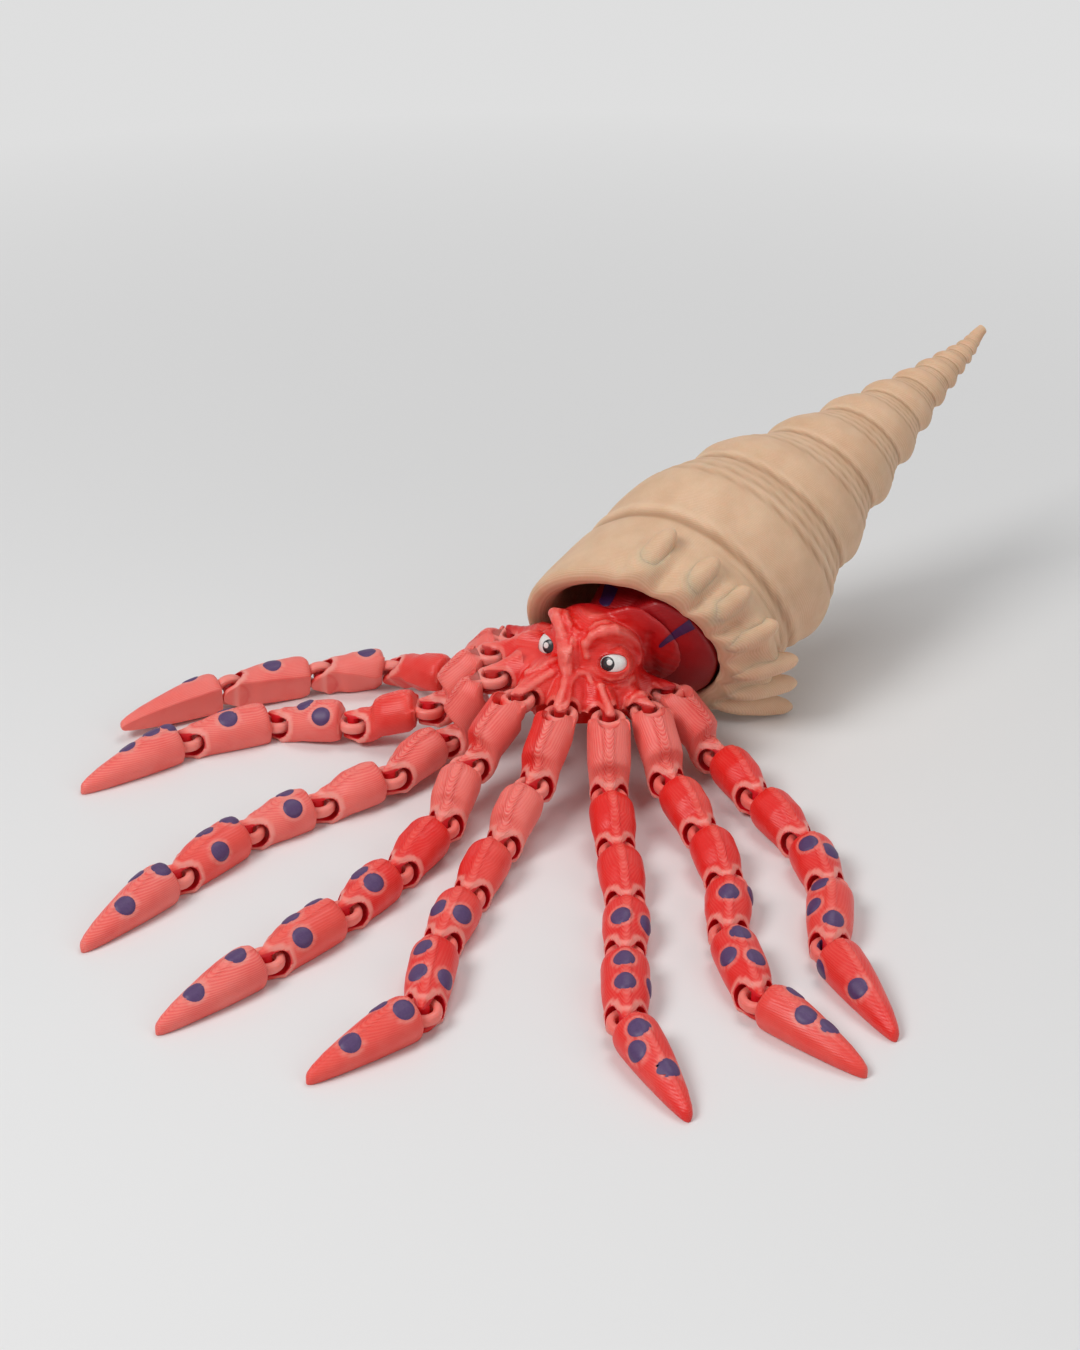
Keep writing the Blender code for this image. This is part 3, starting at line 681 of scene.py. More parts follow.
def link_table(length, front, slim):
    """Rows along a link with a nose; slim narrows the shoulders of the links next to the head."""
    return scaled_rows((
        (front, 0.78 - slim, 0.85, 0.0), (front + 0.15, 0.85 - slim, 0.905, 0.0),
        (front + 0.5, 0.92 - slim, 0.95, 0.0), (front + 1.2, 0.975 - slim, 0.98, 0.0),
        (front + 2.4, 1.0 - 0.7 * slim, 1.0, 0.0), (0.55 * length, 0.985 - 0.4 * slim, 0.955, 0.0),
        (length - 6.2, 0.94, 0.89, 0.0), (length - NOSE_ROOT, 0.885, 0.835, 0.15),
        (length - 3.0, 0.83, 0.79, 0.45), (length - 1.5, 0.76, 0.745, 0.9),
        (length, 0.56, 0.715, 1.0), (length + 1.2, 0.41, 0.685, 1.0),
        (length + 1.9, 0.27, 0.65, 1.0), (length + NOSE_REACH, 0.14, 0.55, 1.0)))


def tip_table(length, front):
    """Rows along the last link of an arm."""
    return scaled_rows((
        (front, 0.76, 0.83, 0.0), (front + 0.15, 0.83, 0.885, 0.0), (front + 0.5, 0.90, 0.93, 0.0),
        (front + 1.2, 0.95, 0.96, 0.0), (front + 2.4, 0.955, 0.97, 0.0),
        (0.34 * length, 0.895, 0.91, 0.0), (0.48 * length, 0.81, 0.80, 0.0),
        (0.66 * length, 0.65, 0.65, 0.0), (0.80 * length, 0.51, 0.52, 0.0),
        (0.92 * length, 0.34, 0.38, 0.0), (0.975 * length, 0.22, 0.29, 0.0),
        (0.995 * length, 0.13, 0.22, 0.0), (length, 0.06, 0.13, 0.0)))


# The rounded pocket round a joint's bar, the raised rim of its window, and the notch through a
# first link's top, in which the hook of the head turns
POCKET_MIDDLE = 2.7
POCKET_DEPTH = 1.95
POCKET_RISE = 2.15
POCKET_SCALE = 2.0
RIM_RISE = 0.26
NOTCH_START = -4.0
NOTCH_END = 4.3
NOTCH_HALF_WIDTH = 2.35
NOTCH_HALF_HEIGHT = 8.0

# Where the body of a link starts behind its ring, and how much the links next to the head are
# narrowed at their shoulders. Those of arms 1 to 3 are plain, and the others have a notch.
LAST_PLAIN_ARM = 3
PLAIN_FRONT = 2.45
NOTCHED_FRONT = 0.9
NOTCHED_SLIM = 0.03
PLAIN_SLIM = 0.08


def pocket_distance(points, centre=(0.0, 0.0, 0.0)):
    """Rough signed distance from the rounded pocket round a joint's bar, positive outside."""
    rel = points - np.asarray(centre)
    radial = np.hypot(rel[:, 0], rel[:, 1]) - POCKET_MIDDLE
    share = np.hypot(np.maximum(radial, 0.0) / POCKET_DEPTH, rel[:, 2] / POCKET_RISE)
    return (share - 1.0) * POCKET_SCALE


def pocket_skin(sides=48):
    """The rounded pocket round a joint's bar, in the joint's frame."""
    half_slot = SLOT_HEIGHT / 2
    shoulder = 0.5 * (BAR_RADIUS + POCKET_MIDDLE)
    profile = [(BAR_RADIUS, -half_slot), (shoulder, -0.93 * POCKET_RISE)]
    for turn in range(-90, 91, 15):
        angle = math.radians(turn)
        radius = POCKET_MIDDLE + POCKET_DEPTH * math.cos(angle)
        profile.append((radius, POCKET_RISE * math.sin(angle)))
    profile += [(shoulder, 0.93 * POCKET_RISE), (BAR_RADIUS, half_slot)]
    return spun(profile, sides)


def ring_skin():
    """The rounded ring at the front of every link."""
    inner, half = RING_INNER - 0.02, RING_THICK / 2
    corners = ((inner, -half), (RING_OUTER, -half), (RING_OUTER, half), (inner, half))
    return spun(chaikin(corners, 2), 40)


def notch_skin():
    """Cutter of the notch through a first link's top: straight sides and a round end."""
    low, high = -NOTCH_HALF_HEIGHT, NOTCH_HALF_HEIGHT
    rows = []
    for x in np.linspace(NOTCH_START, NOTCH_END, 19):
        half = NOTCH_HALF_WIDTH
        if x >= NOTCH_END - half:
            half = math.sqrt(max(half ** 2 - (x - NOTCH_END + half) ** 2, 0.02))
        rows.append([(x, -half, low), (x, half, low), (x, half, high), (x, -half, high)])
    return lofted(rows)


def base_link(length, front, last=False, notched=False, slim=0.0):
    """One link before it is bent to its place, with its painted highlight and painted shade
    numbers.
    """
    table = tip_table(length, front) if last else link_table(length, front, slim)
    end = length if last else length + NOSE_REACH
    places = np.unique(np.concatenate((
        np.linspace(front, front + 2.8, 9), np.linspace(front + 2.8, end - 5.0, 17),
        np.linspace(end - 5.0, end, 16))))
    verts, faces = lofted([section(place, *between(table, place)) for place in places])
    steps = []
    if notched:
        steps.append(("DIFFERENCE", notch_skin()))
    if not last:
        away = pocket_distance(verts, (length, 0.0, 0.0))
        rise = RIM_RISE * smooth_step((1.15 - away) / 0.45) * smooth_step((away + 1.2) / 0.6)
        rise *= (smooth_step((verts[:, 0] - (length - 6.8)) / 1.0)
                 * smooth_step((length - 0.4 - verts[:, 0]) / 1.2))
        verts = verts + point_normals(verts, faces) * rise[:, None]
        pocket, pocket_faces = pocket_skin()
        steps.append(("DIFFERENCE", (pocket + (length, 0.0, 0.0), pocket_faces)))
    steps.append(("UNION", ring_skin()))
    verts, faces = carved((verts, faces), steps)
    return verts, faces, *link_numbers(verts, length, last)


def link_numbers(verts, length, last):
    """Painted highlight round the window and on the ring, and painted shade in the pocket, at each
    vertex of an unbent link.
    """
    rim = np.zeros(len(verts))
    deep = np.zeros(len(verts))
    if not last:
        away = pocket_distance(verts, (length, 0.0, 0.0))
        # Painted highlight round the pocket's window; the ring gets half of it further down
        rim = smooth_step((1.05 - away) / 0.3) * (away > 0.06)
        rim *= smooth_step((length + 0.6 - verts[:, 0]) / 1.5)
        # Painted shade inside the pocket
        deep = smooth_step((0.12 - away) / 0.1)
    ring = smooth_step((BODY_FRONT + 0.2 - verts[:, 0]) / 0.4)
    ring = ring * (np.abs(verts[:, 2]) < RING_THICK / 2 + 0.1)
    return np.maximum(rim, 0.5 * ring * (np.abs(verts[:, 1]) < RING_OUTER + 0.2)), deep


def sloped(verts, place, origin_x, slope, weight):
    """Link vertices placed from one end: upright at weight 0, square to the slope at 1."""
    rows, origin = place
    angle = weight * slope
    along = verts[:, 0] - origin_x
    ahead = along * np.cos(angle) + verts[:, 2] * np.sin(angle)
    above = verts[:, 2] * np.cos(angle) - along * np.sin(angle)
    return ahead[:, None] * rows[0] + verts[:, 1:2] * rows[1] + above[:, None] * rows[2] + origin


def bent(verts, start, end, length):
    """A link's vertices, its ring flat in one frame, its nose in another and its body between."""
    x, z = verts[:, 0], verts[:, 2]
    slopes = [math.asin(min(max(np.dot(start[1] - end[1], place[0][2]) / length, -0.95), 0.95))
              for place in (start, end)]
    past_ring = np.maximum(smooth_step((x - 1.8) / 3.0), smooth_step((z - 1.0) / 1.2))
    before_nose = smooth_step((length - 3.2 - x) / 3.0)
    share = smooth_step((x - BODY_FRONT) / (length - NOSE_ROOT - BODY_FRONT))[:, None]
    near = sloped(verts, start, 0.0, slopes[0], past_ring)
    far = sloped(verts, end, length, slopes[1], before_nose)
    return near + (far - near) * share


def rolled_height(turn):
    """Height at which a link rolled on its side still clears the table."""
    roll = math.radians(turn)
    flat_corner = 0.72 * LINK_HALF_WIDTH * math.sin(roll) + AXIS_HEIGHT * math.cos(roll)
    side_drop = 0.42 * LINK_HEIGHT - AXIS_HEIGHT
    side_corner = LINK_HALF_WIDTH * math.sin(roll) - side_drop * math.cos(roll)
    return max(flat_corner, side_corner)


def hook_place(arm):
    """Heading and centre of the joint between the head and an arm."""
    heading = HUB_HEADING + (arm - MIDDLE_OF_ARMS) * HOOK_SPACING
    out = heading_vector(heading) * HOOK_RADIUS
    return heading, HUB + out + UP * (HOOK_HEIGHT - HEAD_LEAN * out[0])


def arm_spacings(arm):
    """Joint spacings of an arm, ending with its tip's length."""
    links = len(ARM_HEADINGS[arm])
    return [FIRST_SPACING] + [MIDDLE_SPACING] * (links - 3) + [LAST_SPACING, TIP_LENGTH]


def arm_heights(arm):
    """Heights of an arm's joints and of the end of its tip."""
    links = len(ARM_HEADINGS[arm])
    hook = hook_place(arm)[1][2]
    if arm == ROLLED_ARM:
        rest = [rolled_height(turn) for turn in ROLLED_ARM_TURNS[2:links]]
        return [hook, FIRST_JOINT_HEIGHT[arm]] + rest + [ROLLED_TIP_HEIGHT]
    return [hook, FIRST_JOINT_HEIGHT[arm], SECOND_JOINT_HEIGHT] + [AXIS_HEIGHT] * (links - 2)


def arm_centres(arm):
    """Centres of an arm's joints and the end of its tip."""
    centres = [hook_place(arm)[1]]
    heights = arm_heights(arm)
    for heading, spacing, height in zip(ARM_HEADINGS[arm], arm_spacings(arm), heights[1:]):
        drop = centres[-1][2] - height
        level = math.sqrt(max(spacing ** 2 - drop ** 2, (0.2 * spacing) ** 2))
        step = heading_vector(heading) * level
        centres.append(centres[-1] + step - UP * drop)
    return centres


def arm_axes(arm):
    """Joint axes of an arm, and the upright of its tip's end."""
    headings = ARM_HEADINGS[arm]
    if arm != ROLLED_ARM:
        return [UP for _ in range(len(headings) + 1)]
    axes = []
    for k, turn in enumerate(ROLLED_ARM_TURNS):
        before = headings[max(k - 1, 0)]
        after = headings[min(k, len(headings) - 1)]
        axes.append(turned(UP, heading_vector((before + after) / 2), turn))
    return axes


def spot_places(arm, number, links, tree, start, end, length):
    """Centres and normals of a link's spots: under the photograph's pixels, then filled up."""
    wanted = {links - 2: 2, links - 1: 3, links: 3}.get(number, 0)
    found = []

    def is_free(spot, gap):
        return all(np.linalg.norm(spot[0] - other[0]) > gap for other in found)

    for px, py in SPOT_PIXELS.get((arm, number), ()):
        spot = near_pixel(tree, px, py, SPOT_SEARCH)
        if spot and is_free(spot, SPOT_GAP):
            found.append(spot)
    for share, side in TIP_FILLERS if number == links else LINK_FILLERS:
        if len(found) >= wanted:
            break
        target = bent(np.array([(share * length, 0.0, 1.5)]), start, end, length)[0]
        source = bent(np.array([(share * length, side * 20.0, 13.0)]), start, end, length)[0]
        hit, normal, _, _ = tree.ray_cast(Vector(source), Vector(unit(target - source)))
        if hit is not None and is_free((np.array(hit),), FILLER_GAP):
            found.append((np.array(hit), np.array(normal)))
    return found[:wanted]


def make_links():
    """All 46 links with their spots."""
    bases = {
        "first_notched": base_link(FIRST_SPACING, NOTCHED_FRONT, notched=True, slim=NOTCHED_SLIM),
        "first_plain": base_link(FIRST_SPACING, PLAIN_FRONT, slim=PLAIN_SLIM),
        "middle": base_link(MIDDLE_SPACING, PLAIN_FRONT),
        "long": base_link(LAST_SPACING, PLAIN_FRONT),
        "tip": base_link(TIP_LENGTH, PLAIN_FRONT, last=True),
    }
    for arm in ARM_HEADINGS:
        centres, axes, spacings = arm_centres(arm), arm_axes(arm), arm_spacings(arm)
        links = len(spacings)
        first = "first_plain" if arm <= LAST_PLAIN_ARM else "first_notched"
        kinds = [first] + ["middle"] * (links - 3) + ["long", "tip"]
        for k, (kind, length) in enumerate(zip(kinds, spacings)):
            direction = centres[k + 1] - centres[k]
            start = frame_at(centres[k], axes[k], direction)
            end = frame_at(centres[k + 1], axes[k + 1], direction)
            make_link(arm, k + 1, links, bases[kind], start, end, length)


# A link whose right flank has more painted sheen than this gets the plastic with the paler painted
# sheen
PALE_TONE = 0.74


def make_link(arm, number, links, base, start, end, length):
    """One link at its place, with its spots, riding on its body."""
    rest, faces, rim, deep = base
    verts = bent(rest, start, end, length)
    tree = tree_of(verts, faces)
    spots = spot_places(arm, number, links, tree, start, end, length)
    for centre, _ in spots:
        away = np.abs(np.linalg.norm(verts - centre, axis=1) - SPOT_RADIUS - 0.25)
        # Painted highlight round the edge of each spot
        rim = np.maximum(rim, 0.55 * bump_of(away, 0.3))
    # Painted sheen of the link, its left and right flanks lit differently
    tones = ARM_SHEEN[arm][number - 1]
    left, right = tones if isinstance(tones, tuple) else (tones - 0.06, tones + 0.06)
    pale = right > PALE_TONE
    x, y, z = rest.T
    top = smooth_step(((z + AXIS_HEIGHT) / LINK_HEIGHT - 0.62) / 0.12)
    tone = left + (right - left) * smooth_step((y + 1.1) / 1.0)
    # Painted highlight along the top ridge, weaker on the links with more sheen
    tone = tone + (0.42 - 0.30 * min(right, 1.0)) * bump_of(y, 0.75) * top
    seam = smooth_step((1.9 - np.abs(y)) / 0.9) * top
    # Tone carries painted sheen and highlight, rim painted highlight, and deep painted shade
    values = {"tone": tone, "rim": rim, "deep": deep, "layer": z + 20.0 + 0.013 * arm,
              "contour": x + 1.5 * y ** 2 + 10.0,
              "ridge": (0.85 if pale and number < 3 else 0.40) * seam * (1.0 - deep)}
    pads = [(disc_patch(tree, *spot, SPOT_RADIUS, SPOT_RISE), 1) for spot in spots]
    name = f"arm_{arm}_link_{number}"
    piece = make_piece(f"{name}_skin", (verts, faces), pads,
                       (SHEEN_LINK_PLASTIC if pale else LINK_PLASTIC, VIOLET_PLASTIC), values,
                       rest + np.array((17.0 * number, 31.0 * arm, 0.0)), 38.0)
    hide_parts(name)
    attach(piece, name)


# Shell

# The skin of the shell: points round a ring, the part of its axis that its spikes' feet reach,
# and the way its tip bends
RING_POINTS = 216
SPIKE_REACH = 20.4
TIP_BEND = np.array((-0.35, 0.0, 0.75))
# Fine grooves within a whorl: strength, place and width in shares of the whorl
GROOVES = ((1.0, 0.60, 0.026), (0.8, 0.74, 0.022), (0.7, 0.87, 0.020),
           (-0.5, 0.67, 0.03), (-0.4, 0.805, 0.025))
# Radius of a spike along its length
SPIKE_SHARES = (0.0, 0.08, 0.2, 0.4, 0.7, 0.9, 1.0)
SPIKE_RADII = (1.0, 1.9, 2.6, 2.9, 2.4, 1.7, 1.3)
SPIKE_BLUNT = 0.86
# Places of the rings of the hollow inside, in shares of the shell's length
INNER_SHARES = (0.075, 0.12, 0.16, 0.2, 0.235, 0.27, 0.3, 0.33, 0.375, 0.42, 0.475, 0.53, 0.62)


def shell_normals(places):
    """Normals of the shell's rings: they lean like the mouth at first."""
    share = smooth_step(np.asarray(places) / MOUTH_TWIST_LENGTH)[:, None]
    mixed = -MOUTH_NORMAL * (1 - share) + SHELL_AXIS * share
    return mixed / np.linalg.norm(mixed, axis=1, keepdims=True)


def shell_radii(places):
    """Smooth outer radius of the shell, without its whorls."""
    lip = MOUTH_RADIUS + LIP_WIDTH
    table = np.array((
        (0.0, lip), (0.095, lip + 0.7), (0.19, lip), (0.26, 0.985 * lip), (0.31, 0.955 * lip),
        (0.415, 0.775 * lip), (0.525, 0.59 * lip), (0.67, 0.405 * lip), (0.80, 0.235 * lip),
        (0.925, 0.11 * lip), (1.0, 0.045 * lip)))
    fine = np.linspace(0.0, 1.0, 401)
    level = np.interp(fine, table[:, 0], table[:, 1])
    window = np.exp(-np.linspace(-2.0, 2.0, 21) ** 2)
    padded = np.concatenate((np.full(10, level[0]), level, np.full(10, level[-1])))
    soft = np.convolve(padded, window / window.sum(), mode="valid")
    return np.interp(np.asarray(places) / SHELL_LENGTH, fine, soft)


def ring_directions(places, turns):
    """Unit vectors from the axis to the ring points: places x turns x 3."""
    normals = shell_normals(places)
    tops = UP - normals * normals[:, 2:3]
    tops = tops / np.linalg.norm(tops, axis=1, keepdims=True)
    sides = np.cross(normals, tops)
    cosines = np.cos(turns)[None, :, None]
    sines = np.sin(turns)[None, :, None]
    return tops[:, None, :] * cosines + sides[:, None, :] * sines


def spiral_phase(places, turns):
    """Place within a whorl, from 0 at its mouth-side suture to 1 at the next."""
    from_tip = SHELL_LENGTH - places
    steps = np.log((from_tip + WHORL_OFFSET) / WHORL_SCALE) / math.log(WHORL_RATIO)
    return (steps[:, None] - turns[None, :] / (2 * math.pi)) % 1.0, steps


def shell_relief(places, turns):
    """Share by which whorls, grooves and waves raise or sink the shell's skin, and its creases,
    which carry its painted shade and highlight.
    """
    phase, steps = spiral_phase(places, turns)
    rising = -np.cos(math.pi * phase / WHORL_CREST)
    falling = np.cos(math.pi * (phase - WHORL_CREST) / (1 - WHORL_CREST))
    swell = np.where(phase < WHORL_CREST, rising, falling)
    swell = np.sign(swell) * np.abs(swell) ** 0.85
    from_tip = ((SHELL_LENGTH - places) / SHELL_LENGTH)[:, None]
    depth = RELIEF_AT_TIP + (RELIEF_AT_MOUTH - RELIEF_AT_TIP) * from_tip ** 0.6
    notch = bump_of(np.minimum(phase, 1.0 - phase), 0.035)
    edge = bump_of(phase - 0.075, 0.032)
    groove = sum(share * bump_of(phase - at, width) for share, at, width in GROOVES)
    groove = groove * smooth_step((places - 15.0) / 10.0)[:, None]
    side = 0.5 + 0.5 * np.cos(turns[None, :] - math.radians(115))
    fade = (smooth_step(places / (0.08 * SHELL_LENGTH))
            * smooth_step((SHELL_LENGTH - 1.0 - places) / 7.0))[:, None]
    strength = (0.25 + 0.75 * from_tip) * (0.25 + 0.75 * side)
    lines = (0.030 * strength * groove + 0.026 * notch - 0.012 * edge) * fade
    waves = (0.004 * np.sin(3 * turns[None, :] + 2.1 * steps[:, None])
             + 0.003 * np.sin(7 * turns[None, :] - 5.3 * steps[:, None] + 1.0)
             + 0.0022 * np.sin(13 * turns[None, :] + 9.1 * steps[:, None])) * fade
    shares = 1.0 + depth * swell * fade - lines + waves
    # Darker in the sutures and grooves and lighter on the edges of the whorls: painted shade and
    # highlight
    creases = np.clip(notch + 0.9 * groove * (0.3 + 0.7 * side) - 0.5 * edge, -0.6, 1.0) * fade
    return shares, creases


def spike_line(turn_degrees, outward_by, back):
    """Both ends of a spike's middle line, the first deep in the lip, and the way across it."""
    turn = np.array([math.radians(turn_degrees)])
    radial = ring_directions(np.array([SPIKE_START]), turn)[0, 0]
    wall = float(shell_radii([SPIKE_START])[0])
    base = MOUTH_CENTRE + SHELL_AXIS * 1.7 + radial * (wall - 2.9)
    tip = MOUTH_CENTRE + SHELL_AXIS * (SPIKE_START + back) + radial * (wall + outward_by)
    return base, tip, unit(np.cross(SHELL_AXIS, radial))


def spike_skin(turn_degrees, outward_by, back):
    """A blunt, tapering spike that grows out of the lip."""
    base, tip, across = spike_line(turn_degrees, outward_by, back)
    along = unit(np.cross(unit(tip - base), across))
    turns = circle(32)
    out = across[None, :] * np.cos(turns)[:, None] + along[None, :] * np.sin(turns)[:, None]
    sections = []
    for share in np.concatenate((np.linspace(0.0, SPIKE_BLUNT, 16), (0.90, 0.94, 0.97, 0.99, 1.0))):
        past = max(share - SPIKE_BLUNT, 0.0) / (1.0 - SPIKE_BLUNT)
        size = float(np.interp(share, SPIKE_SHARES, SPIKE_RADII))
        size = size * math.sqrt(max(1.0 - past ** 2, 0.0)) + 0.03
        sections.append(base + (tip - base) * share + out * size)
    return lofted(sections)


def spike_fillet(points):
    """How far the shell's skin rises round the feet of the spikes."""
    rise = np.zeros(points.shape[:-1])
    for spike in SPIKES:
        base, tip, _ = spike_line(*spike)
        step = tip - base
        share = np.clip(((points - base) @ step) / np.dot(step, step), 0.0, 1.0)
        away = np.linalg.norm(points - base - share[..., None] * step, axis=-1)
        away = away - np.interp(share, SPIKE_SHARES, SPIKE_RADII)
        rise = np.maximum(rise, 1.3 * np.exp(-np.maximum(away, 0.0) / 1.3))
    return rise


def shell_places():
    """Places of the shell's rings along its axis: even at the mouth, then with its whorls."""
    first = math.log((SHELL_LENGTH + WHORL_OFFSET) / WHORL_SCALE) / math.log(WHORL_RATIO)
    steps = np.linspace(first, 12.4, 300)
    places = SHELL_LENGTH - (WHORL_SCALE * WHORL_RATIO ** steps - WHORL_OFFSET)
    later = places[(places > SPIKE_REACH) & (places < SHELL_LENGTH - 0.3)]
    return np.concatenate((np.linspace(2.4, 20.0, 45), later, [SHELL_LENGTH - 0.15]))


def lip_flutes(places, turns):
    """Rise of the lip before each spike and its hollows between them."""
    near_lip = smooth_step((9.0 - places) / 7.0)[:, None]
    flutes = np.zeros((len(places), len(turns)))
    for turn, _, _ in SPIKES:
        apart = np.abs((np.degrees(turns) - turn + 180) % 360 - 180)[None, :]
        flutes += 0.5 * bump_of(apart, 5.5) * near_lip
        flutes -= 0.8 * bump_of(apart - 10.5, 4.2) * near_lip
    degrees = (np.degrees(turns) + 90) % 360 - 90
    return flutes * (smooth_step((degrees + 8) / 12) * smooth_step((158 - degrees) / 12))[None, :]


def shell_outside(turns):
    """Rings of the shell's outside from the lip to the tip, the lip's radii and the creases for the
    painted shade and highlight.
    """
    places = shell_places()
    shares, creases = shell_relief(places, turns)
    radii = shell_radii(places)[:, None] * shares + lip_flutes(places, turns)
    directions = ring_directions(places, turns)
    centres = MOUTH_CENTRE + SHELL_AXIS * places[:, None]
    near = places < SPIKE_REACH
    skin = centres[near, None, :] + directions[near] * radii[near, :, None]
    radii[near] += spike_fillet(skin) * smooth_step((20.0 - places[near]) / 4.0)[:, None]
    bend = smooth_step((places - (SHELL_LENGTH - 9.0)) / 9.0) ** 1.5 * 1.5
    rings = centres[:, None, :] + directions * radii[:, :, None] + bend[:, None, None] * TIP_BEND
    return rings, radii[0], creases


def lip_rings(turns, outer):
    """Rings round the edge of the lip from its outer radii inward, and how far inside each is, for
    the painted shade inside.
    """
    directions = ring_directions(np.array([0.0]), turns)[0]
    wobble = 0.25 * np.sin(2 * turns + 0.6) + 0.18 * np.sin(5 * turns)
    rings = []
    shares = np.linspace(0.0, 1.0, 13)[1:]
    for angle in math.pi * shares:
        radius = (outer + MOUTH_RADIUS) / 2 + (outer - MOUTH_RADIUS) / 2 * math.cos(angle)
        radius = radius + wobble * math.sin(angle) * 0.4
        depth = 2.4 * (1 - math.sin(angle))
        rings.append(MOUTH_CENTRE + SHELL_AXIS * depth + directions * radius[:, None])
    return rings, list(0.10 + 0.5 * smooth_step((shares - 0.72) / 0.28))


def inner_rings(turns):
    """Rings of the hollow inside, from the lip to its blind end."""
    deep = [share * SHELL_LENGTH for share in INNER_SHARES]
    rows = [(5.0, MOUTH_RADIUS + 0.2)]
    rows += [(depth, float(shell_radii([depth])[0]) - SHELL_WALL) for depth in deep]
    rows += [(0.66 * SHELL_LENGTH, 2.2), (0.665 * SHELL_LENGTH, 0.3)]
    depths = np.array([depth for depth, _ in rows])
    return [MOUTH_CENTRE + SHELL_AXIS * depth + ring * radius
            for (depth, radius), ring in zip(rows, ring_directions(depths, turns))]


def make_shell():
    """Shell: outside, lip and inside in one skin, with its spikes."""
    turns = circle(RING_POINTS)
    outer, lip_radii, creases = shell_outside(turns)
    lip, lip_inside = lip_rings(turns, lip_radii)
    inner = inner_rings(turns)
    skin = lofted(list(outer[::-1]) + lip + inner)
    verts, faces = joined(skin, *(spike_skin(*spike) for spike in SPIKES))
    verts[:, 2] = np.maximum(verts[:, 2], 0.0)
    crease = np.zeros(len(verts))
    crease[:creases.size] = creases[::-1].ravel()
    inside = np.zeros(len(verts))
    shares = [0.0] * len(outer) + lip_inside + [1.0] * len(inner)
    inside[:len(skin[0])] = np.repeat(shares, RING_POINTS)
    # Painted shade in the creases and inside the shell, and painted highlight on the whorls' edges
    values = {"tone": 0.62 - 0.55 * crease - 0.30 * inside, "rim": np.zeros(len(verts)),
              "deep": np.clip(0.42 * crease + 0.25 * inside, 0.0, 1.0),
              "layer": (verts - MOUTH_CENTRE) @ -MOUTH_NORMAL + 200.0}
    piece = make_piece("shell_skin", outward(verts, faces), (), (SHELL_PLASTIC,), values,
                       verts, 60.0)
    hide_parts("shell")
    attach(piece, "shell")


# Mantle

# Along the axis of the shell: place, radius, and how far the left and the top stand back
MANTLE_ROWS = np.array((
    (-1.2, 14.0, 3.2), (-0.4, 16.3, 4.8), (0.6, 17.9, 6.2), (1.3, 18.4, 6.4), (3.0, 18.0, 5.6),
    (5.5, 17.2, 4.2), (9.0, 16.9, 2.6), (12.0, 16.5, 1.0), (20.7, 15.3, 0.0), (30.4, 12.5, 0.0),
    (39.6, 8.2, 0.0), (46.0, 3.2, 0.0)))


def recess(turns):
    """Share by which the mantle stands back from the mouth's wall: on the left and at the top."""
    degrees = np.degrees(turns) % 360
    start = smooth_step((degrees - 195) / 25)
    stop = smooth_step((degrees - 5) / 25)
    return np.where(degrees > 180, start, 1.0 - stop)


def mantle_skin():
    """The body that fills the mouth of the shell."""
    turns = circle(120)
    held = recess(turns)
    at, radii, set_back = MANTLE_ROWS.T
    rings = []
    for place in np.concatenate((np.linspace(-1.2, 6.0, 19), np.linspace(7.0, 46.0, 30))):
        radius = np.interp(place, at, radii) - held * np.interp(place, at, set_back)
        centre = MOUTH_CENTRE + SHELL_AXIS * max(place, 0.0) + MOUTH_NORMAL * max(-place, 0.0)
        folds = 0.12 * np.sin(9 * turns + 0.15 * place) * smooth_step((place + 1.0) / 3.0)
        ring = ring_directions(np.array([max(place, 0.0)]), turns)[0]
        rings.append(centre + ring * (radius + folds - 0.1)[:, None])
    return lofted(rings)


# Head

def face_place(turn, reach, height):
    """A point of the face, by its turn from the middle of the face."""
    return DOME_CENTRE + heading_vector(FACE_HEADING + turn) * reach + UP * height


# The gap round an eye in its socket, the thickness of the lids round it, and the way in which they
# open: its turn outward from the face, in degrees, and its rise
EYE_PLAY = 0.1
LID = 0.75
LID_TURN = 30.0
LID_RISE = math.radians(25.0)
EYES = {"eye_left": face_place(-EYE_TURN, EYE_REACH, EYE_HEIGHT),
        "eye_right": face_place(EYE_TURN, EYE_REACH, EYE_HEIGHT)}
EYE_SIDES = tuple(zip((-1, 1), EYES.values()))

# Height and radius of the skirt and the dome
DOME_ROWS = np.array((
    (10.6, 9.0), (11.4, 11.2), (12.8, 12.9), (14.5, 13.8), (16.0, 14.0), (18.3, 13.0), (20.8, 11.2),
    (24.2, 9.9), (27.4, 9.5), (29.2, 8.5), (30.8, 6.9), (32.0, 4.9), (32.8, 2.4), (33.0, 0.6)))
# A nose of the head: place past its bar, and shares of a link's half width and height
NOSE_ROWS = (
    (-11.5, 0.9, 1.22, 0.0), (-8.0, 0.98, 1.16, 0.0), (-6.0, 0.94, 1.02, 0.0),
    (-NOSE_ROOT, 0.86, 0.90, 0.1), (-3.0, 0.80, 0.82, 0.4), (-1.5, 0.70, 0.76, 0.8),
    (0.0, 0.54, 0.72, 1.0), (1.2, 0.40, 0.69, 1.0), (1.9, 0.27, 0.65, 1.0),
    (NOSE_REACH, 0.14, 0.55, 1.0))
# The arches between the noses: place outward and size
ARCH_ROWS = ((0.0, 0.4), (0.8, 1.6), (2.0, 2.4), (4.5, 2.9), (7.0, 3.3), (12.0, 4.2))


